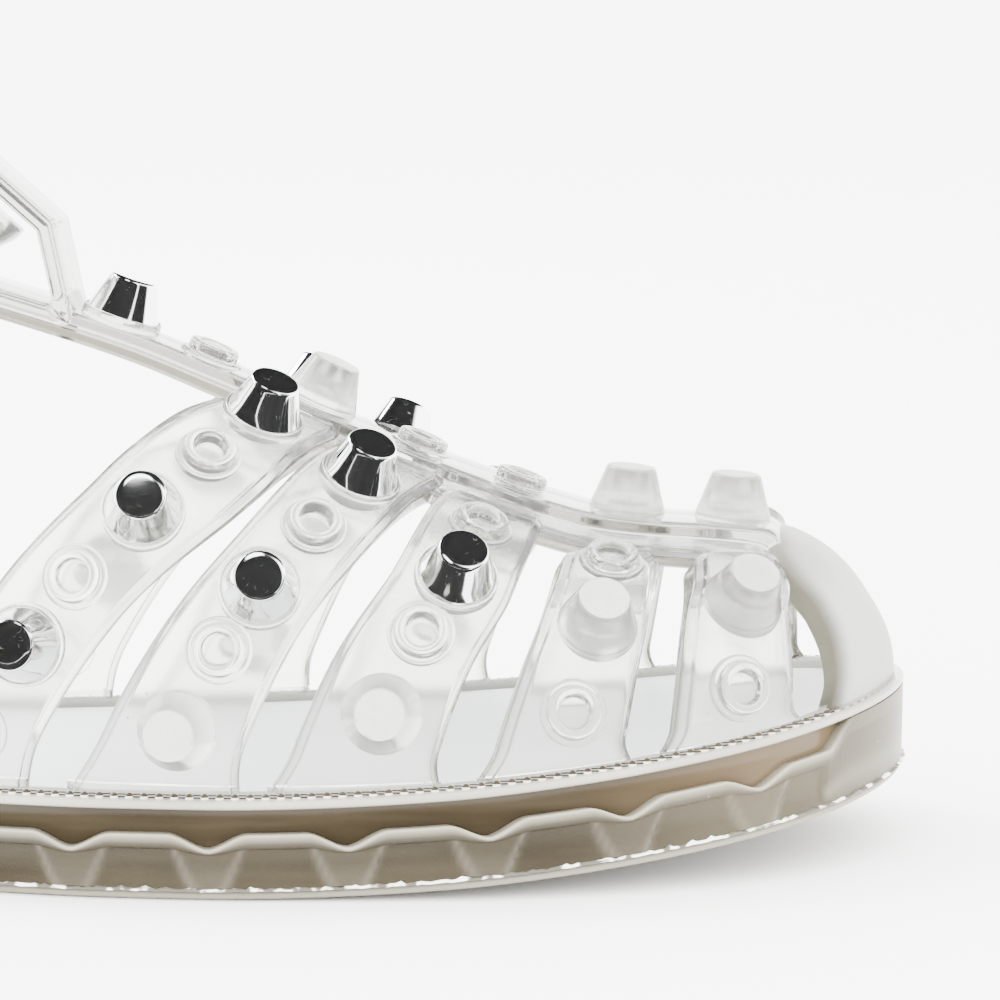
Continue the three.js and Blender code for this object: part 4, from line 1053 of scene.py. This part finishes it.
def tread_bars():
    """Bars across the heel and the forefoot that cut the grooves of the tread."""
    bars = []
    for share in [0.07 + 0.045 * k for k in range(4)] + [0.475 + 0.045 * k for k in range(8)]:
        x = share * LENGTH
        outline = rounded([(-1.5, -22), (1.5, -22), (1.5, 22), (-1.5, 22)], 1.3)
        bars.append(loft([[(x + a * k, float(centre_y(x)) + b, float(tread_z(x)) + z) for a, b in outline]
                          for k, z in ((1.05, -1.4), (1.0, 0.2), (0.9, 0.9), (0.7, 1.2))]))
    return joined(bars)


def outsole():
    """Tread, ragged mould flash, ribs and panels, and the rounded ledge over them, from the bottom up."""
    turn, side, dip, away, toe, length = wave_columns()
    columns = (turn, side)
    count = len(turn)
    ragged = (np.sin(length * 1.9) * 0.5 + np.sin(length * 4.7 + 1) * 0.3 + np.sin(length * 9.1 + side) * 0.2)
    chip = np.maximum(0, np.sin(length * 0.83 + 2 * side) * np.sin(length * 2.9) - 0.35)
    plain = toe > 0
    ledge = lerp(2.1, 0.8, dip)  # height of the rounded ledge
    lip_top = lambda x: rim_z(x) - lerp(LEDGE_DROP + WAVE_DEPTH * dip, 1.22, toe)
    flash = lambda x: tread_z(x) + FLASH_HEIGHT
    rings, kinds, pales = [], [], []

    def add(inset, height, kind=0, pale=0.0):
        rings.append(ring_at(columns, inset, height))
        kinds.append(kind)
        pales.append(np.broadcast_to(np.asarray(pale, float), count))

    # Painted light on the tread and its rounded edge under the flash, where the sole is in shade
    for inset, up, pale in ((3.5, 0, 0.3), (2.0, 0, 0.5), (1.3, 0.12, 0.8), (0.75, 0.45, 0.9),
                            (0.4, 0.9, 0.7)):
        add(inset, lambda x, up=up: tread_z(x) + up, 0, pale)
    add(0.2, lambda x: flash(x) - 0.24 + 0.1 * ragged, 0, 0.1)
    add(-0.12 * ragged, lambda x: flash(x) - 0.16 + 0.12 * ragged, 1)
    add(-0.22 - 0.16 * ragged + 0.1 * chip, lambda x: flash(x) - 0.02 + 0.16 * ragged, 1)
    add(-0.1 - 0.1 * ragged, lambda x: flash(x) + 0.12 + 0.2 * ragged + 0.3 * chip, 1)
    add(0.3, lambda x: flash(x) + 0.25 + 0.2 * ragged + 0.55 * chip, 0, 0.05)
    for share in np.linspace(0.0, 1.0, 13):
        middle = lerp(2.0, 4.4, share)
        rib = 1 - smooth((away - middle) / 1.2)
        ends = math.sin(0.1 + 0.88 * share * math.pi) ** 0.6
        inset = np.where(plain, 0.3 - 0.2 * share, lerp(0.1 + 0.75 * ends, 0.0, rib))
        # Painted highlights along the edges of the ribs; on the smooth toe a pale band across the side
        pale = 0.12 * np.exp(-((away - middle - 0.5) / lerp(0.9, 0.5, share)) ** 2) + 0.05 * rib
        pale = np.where(plain, 0.03 + 0.22 * math.exp(-((share - 0.3) / 0.2) ** 2), pale)
        add(inset, lambda x, share=share: lerp(flash(x) + 0.35, lip_top(x) - ledge, share * 0.97), 0, pale)
    below = np.where(plain, 0.1, lerp(0.22, 0.05, dip))
    # Painted highlight on the rounded shoulder of the ledge, weaker in the dips
    for angle, pale in ((15, 0.0), (35, 0.02), (55, 0.1), (75, 0.38)):
        reach = math.sin(math.radians(angle))
        add(lerp(below, lerp(-0.2, 0.1, toe), reach),
            lambda x, c=math.cos(math.radians(angle)): lip_top(x) - lerp(0.5, ledge, c), 0,
            lerp(pale * (1 - 0.6 * dip), 0.12, toe))
    inner = WALL_INSET - 0.02
    # Painted highlight along the lip of the ledge
    for inset, down, pale in ((-0.24, 0.42, 0.7), (-0.2, 0.24, 1.0), (-0.08, 0.1, 1.0), (0.1, 0.03, 0.9),
                              (0.4, 0.0, 0.55), (inner, 0.0, 0.25)):
        add(np.maximum(inset, lerp(-1, 0.1, toe)), lambda x, down=down: lip_top(x) - down, 0,
            lerp(pale, 0.1, toe))
    add(inner, lambda x: rim_z(x) - TRAY_DEPTH)
    points, faces = loft(rings)
    finish_of = [kinds[level] for level in range(len(rings) - 1) for _ in range(count)]
    finish_of += [0] * (len(faces) - len(finish_of))
    body = solid("outsole_shell", points, faces, [SMOKE_SOLE, FLASH], finish_of, 40,
                 pale=np.concatenate(pales))
    return combine(body, "DIFFERENCE", solid("tread_grooves", *tread_bars(), [SMOKE_SOLE]))


def midsole():
    """Pale rim, with painted shade along and under its lower edge, over the smoky wall."""
    columns = even_columns(260)
    wall = [(3.5, -7.4), (1.8, -7.4), (1.62, -7.3), *((WALL_INSET, up) for up in (-7.1, -5.2, -3.4, -1.6)),
            (1.45, -1.38)]
    # Third value of each rim point: painted shade, strongest under the rim's lower edge
    rim = [(0.9, -1.3, 1), (0.35, -1.2, 0.8), (0.1, -1.0, 0.35), (0.0, -0.8, 0.1), (0.0, -0.5, 0),
           (0.07, -0.3, 0), (0.25, -0.1, 0), (0.55, -0.02, 0), (1.0, 0, 0), (2.3, 0, 0),
           (2.3, -POCKET_DEPTH, 0), (3.5, -POCKET_DEPTH, 0)]
    section = [(inset, up, 0) for inset, up in wall] + rim
    points, faces = loft(rim_rings(columns, [row[:2] for row in section]))
    count = len(columns[0])
    finish_of = [1] * len(wall) * count
    finish_of += [0] * (len(faces) - len(finish_of))
    edge = np.repeat([shade for _, _, shade in section], count)
    return solid("rim_and_wall", points, faces, [RIM, SMOKE_WALL], finish_of, 40, edge=edge)


def insole():
    section = [(5.2, -2.9), (5.2, -0.9), (5.3, -0.7), (5.6, -0.6), (8, -0.58), (14, -0.6), (22, -0.66),
               (30, -0.7)]
    return solid("footbed", *loft(rim_rings(even_columns(200), section)), [FOOTBED], sharp=40)


def stitch_row():
    """Moulded row of beads at the foot of the cage, with two short dashes between each two."""
    fine = np.linspace(0, TURN, 6001)
    turn, side = np.where(fine <= math.pi, fine, TURN - fine), np.where(fine <= math.pi, -1, 1)
    x, y = outline_point(turn, side, 2.45)
    z = rim_z(x)
    run = np.concatenate([[0], np.cumsum(np.sqrt(np.diff(x) ** 2 + np.diff(y) ** 2 + np.diff(z) ** 2))])
    count = round(run[-1] / BEAD_PITCH)
    spots = []
    for k in range(count):
        here, ahead = (np.array([float(np.interp((k + step) / count * run[-1] % run[-1], run, row))
                                 for row in (x, y, z)]) for step in (0, 0.1))
        spots.append((here, np.array([0, 0, 1.0]), unit(ahead - here)))
    bead = [(0, -0.3), (0.58, -0.3), (0.62, 0.0), (0.58, 0.28), (0.46, 0.5), (0.42, 0.53), (0.3, 0.66),
            (0.15, 0.72), (0, 0.74)]
    beads = on_points("bead_row", spots, lathe(bead, 12), BEAD, BEAD_LINE, 0.27, sharp=60)
    between = [(p + d * BEAD_PITCH / 2, n, d) for p, n, d in spots]
    dash = joined([loft([[(s, 0.12 * k * math.cos(a), up + 0.11 * k * math.sin(a)) for a in turns_of(6)]
                         for s, k in ((-0.62, 0.4), (-0.52, 1), (0.52, 1), (0.62, 0.4))])
                   for up in (0.14, 0.52)])
    dashes = on_points("bead_dashes", between, dash, BEAD_LINE, BEAD_LINE, sharp=60)
    return beads, dashes


# ---- Ankle strap and buckle ---------------------------------------------------------------------

def strap_out(angle, side):
    """How far out the strap runs: in line with the collar, then over the barrel or the counter."""
    over = BARREL - WALL / 2 + FIT if side < 0 else FIT
    start, end = (98, 90) if side < 0 else (97, 88)
    return float(lerp(-ANKLE_WALL / 2, over + ANKLE_WALL / 2, smooth((start - angle) / (start - end))))


def ankle_strap():
    stops = [(a, 1) for a in np.linspace(66, 180, 110)] + [(a, -1) for a in np.linspace(179, 62, 112)]
    face = [(-1, 0), (-1, 0.55), (-0.97, 0.85), (-0.9, 1), (-0.45, 1), (0, 1), (0.45, 1), (0.9, 1),
            (0.97, 0.85), (1, 0.55)]
    section = [*face, *((-w, -t) for w, t in face)]
    rings = []
    for n, (angle, side) in enumerate(stops):
        point, along, across, outward = collar_frame(float(angle), side, strap_out(float(angle), side))
        left = min(n, len(stops) - 1 - n)
        corner = 1 - math.sqrt(max(0.0, 1 - min(1, left / 5) ** 2)) if left < 5 else 1.0
        half, thick = ANKLE_WIDTH / 2 * lerp(0.72, 1, corner), ANKLE_WALL / 2
        rings.append([point + across * half * w + outward * thick * t for w, t in section])
    # Painted shade along the strap's edges
    strap_painted_shade = [0.7 if abs(w) > 0.89 else 0.14 for w, _ in section]
    strap = solid("strap", *loft(rings), [CLEAR], edge=np.tile(strap_painted_shade, len(rings)))
    length = BUCKLE_LENGTH - 2 * BUCKLE_BAR
    slot = block((length, PRONG_WIDTH + 2 * FIT, 20), (BUCKLE_BAR / 2 + length / 2, 0, 0))
    hole = rod(RIVET_HOLE, 20)
    cuts = [mounted("slot", slot, buckle_frame(), CLEAR), mounted("hole", hole, rivet_frame(), CLEAR)]
    small = rod(PUNCHED_HOLE, 4, 24)
    cuts += [mounted("punched_hole", small, collar_frame(angle, -1, -ANKLE_WALL / 2), CLEAR)
             for angle in (118, 129, 140, 151)]
    return combine(strap, "DIFFERENCE", *cuts)


def buckle():
    inner = ANKLE_WIDTH + 4 * FIT + 1
    half = inner / 2 + BUCKLE_BAR / 2
    reach = BUCKLE_LENGTH - BUCKLE_BAR
    path = rounded([(0, -half), (reach, -half), (reach, half), (0, half)], 2.0, 9)
    after, before = np.roll(path, -1, axis=0), np.roll(path, 1, axis=0)
    rings = []
    for p, a, b in zip(path, after, before):
        ahead = unit(a - b)
        side = np.array([ahead[1], -ahead[0]])
        ring = []
        for t in turns_of(16):
            w, h = (np.sign(k) * abs(k) ** 0.75 for k in (math.cos(t), math.sin(t)))
            ring.append((*(p + side * w * 0.98), h * 0.88))
        rings.append(ring)
    return mounted("buckle", loft(rings, closed=True), buckle_frame(), CHROME)


def prong():
    inner = BUCKLE_BAR / 2 + 2 * FIT
    outer, half = inner + PRONG_WALL, PRONG_WIDTH / 2
    profile = [(inner, -half), (outer - 0.2, -half), (outer, -half + 0.2), (outer, half - 0.2),
               (outer - 0.2, half), (inner, half)]
    loop = loft([[(r * math.cos(t), y, r * math.sin(t)) for r, y in profile] for t in turns_of(36)],
                closed=True)
    height = 0.9 + 2 * FIT + PRONG_WALL / 2
    start, length = inner * 0.5, BUCKLE_LENGTH - inner
    upper = [(-1, 0), (-1, 0.5), (-0.8, 0.9), (0, 1), (0.8, 0.9), (1, 0.5)]
    section = [*upper, *((-w, -h) for w, h in upper)]
    tongue = loft([[(start + length * s, half * w * k, height + PRONG_WALL / 2 * h * k) for w, h in section]
                   for s, k in ((0, 0.9), (0.02, 1), (0.8, 1), (0.92, 0.92), (0.98, 0.75), (1, 0.45))])
    body = mounted("prong", loop, buckle_frame(), CHROME)
    return combine(body, "UNION", mounted("tongue", tongue, buckle_frame(), CHROME))


def rivet():
    inner, outer = -WALL - 3 * FIT, ANKLE_WALL + 2 * FIT
    head = [(1.5, 0), (3.4, 0), (3.5, 0.1), (3.5, 0.35), (3.2, 0.8), (2.2, 1.15), (0, 1.2)]
    profile = [(r, inner - up) for r, up in reversed(head)] + [(r, outer + up) for r, up in head]
    return mounted("rivet", lathe(profile, 40), rivet_frame(), CHROME)


# ---- Building -----------------------------------------------------------------------------------

def finish_piece(piece, slot, *nodes):
    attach(piece, "root")
    if nodes:
        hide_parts(*nodes)
    return piece


cage_piece, chrome_spots = cage()
finish_piece(cage_piece, "clear_pvc", "upper")
stud_nodes = sorted(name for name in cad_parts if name.startswith("stud_"))
studs = on_points("chrome_studs", chrome_spots, lathe(CHROME_STUD, 48), CHROME, CHROME)
finish_piece(studs, "chrome", *stud_nodes)
for made_piece, slot_name, node_name in (
    (outsole(), "sole_pvc", "outsole"), (midsole(), "sole_pvc", "midsole"),
    (insole(), "footbed_pvc", "insole"), (ankle_strap(), "clear_pvc", "ankle_strap"),
    (buckle(), "chrome", "buckle_frame"), (prong(), "chrome", "buckle_prong"),
    (rivet(), "chrome", "strap_rivet"),
):
    finish_piece(made_piece, slot_name, node_name)
for row_piece in stitch_row():
    finish_piece(row_piece, "sole_pvc")


# ---- Floor, light and camera --------------------------------------------------------------------

STUDIO_POWER = 9.0
DARKEST = 0.998
# Directions that mirrors see dark, with the cosines of the soft edge; the last is a bright gap in them
DARK_PATCHES = [
    ((-0.3, -0.9, 0.3), 0.50, 0.60), ((0.1, 0.35, 0.93), 0.64, 0.72), ((0.93, -0.42, 0.2), 0.90, 0.95),
    ((-0.03, -0.43, 0.9), 0.986, 0.99),
]


def sheet(name, half_width, near, far, height, finish, only_in_mirrors=False):
    """Flat level sheet of the stage."""
    mesh = bpy.data.meshes.new(name)
    corners = ((-1, near), (1, near), (1, far), (-1, far))
    mesh.from_pydata([(side * half_width, y, height) for side, y in corners], [], [(0, 1, 2, 3)])
    mesh.materials.append(finish)
    piece = add_object(name, mesh)
    if only_in_mirrors:
        piece.visible_camera = piece.visible_diffuse = False
        piece.visible_shadow = piece.visible_transmission = False


def studio_light():
    """Even pale light. Only mirrors and glossy plastic see the dark patches in it."""
    r = Recipe("studio", "World")
    bpy.context.scene.world = r.owner

    def larger(first, second):
        return r.node("ShaderNodeMath", {"operation": "MAXIMUM"}, first, second)

    def patch(aim, outer, inner):
        dot = {"operation": "DOT_PRODUCT"}
        aimed = r.node("ShaderNodeVectorMath", dot, r.place, unit(aim).tolist(), out="Value")
        return r.between(outer, inner, aimed)

    front, overhead, right, window = (patch(*row) for row in DARK_PATCHES)
    dark = larger(larger(larger(front, overhead), right) - window, 0.0) * DARKEST
    seen = dark * r.node("ShaderNodeLightPath", {}, out="Is Glossy Ray")
    r.surface(r.node("ShaderNodeBackground", {}, (1, 1, 0.995, 1), (1.0 - seen) * STUDIO_POWER))


def softbox(name, place, target, size, power):
    lamp = bpy.data.lights.new(name, "AREA")
    lamp.shape, lamp.size, lamp.size_y, lamp.energy = "RECTANGLE", size[0], size[1], power
    piece = add_object(name, lamp)
    piece.location = place
    piece.rotation_euler = (Vector(target) - Vector(place)).to_track_quat("-Z", "Y").to_euler()


floor = matt("pale_floor", 3.0, (0.86, 0.86, 0.858), (0.87, 0.87, 0.868))
sheet("studio_floor", 30, -10, 50, 0, floor)
studio_light()
# Dark sheet on the floor in front of the shoe, seen only in reflections: a painted dark reflection
dark_reflection = matt("dark_cloth", 9.0, (0.004, 0.004, 0.004), (0.009, 0.009, 0.009))
sheet("front_flag", 3, -3, -0.06, 0.0005, dark_reflection, only_in_mirrors=True)
softbox("softbox_left", (-0.9, 0.5, 1.0), (0.05, 0, 0.02), (0.5, 0.5), 30)

# The camera as fitted to the photo: focal length in pixels of a picture 1000 pixels wide; pitch, yaw
# and roll in degrees; place in metres
FOCAL_PIXELS = 4180.88
CAMERA_TURNS = (8.04, -4.8, -0.57)
CAMERA_PLACE = (0.11648, -0.62234, 0.13984)


def photo_camera():
    lens = bpy.data.cameras.new("photo_camera")
    lens.sensor_width, lens.lens = 36.0, FOCAL_PIXELS / 1000 * 36
    lens.clip_start, lens.clip_end = 0.01, 100
    camera = add_object("photo_camera", lens)
    pitch, yaw, roll = (math.radians(v) for v in CAMERA_TURNS)
    forward = Vector((math.sin(yaw) * math.cos(pitch), math.cos(yaw) * math.cos(pitch), -math.sin(pitch)))
    right = Vector((math.cos(yaw), -math.sin(yaw), 0))
    up = right.cross(forward)
    across = right * math.cos(roll) + up * math.sin(roll)
    high = up * math.cos(roll) - right * math.sin(roll)
    rows = zip(across, high, -forward, CAMERA_PLACE)
    camera.matrix_world = Matrix((*rows, (0, 0, 0, 1)))
    bpy.context.scene.camera = camera


photo_camera()
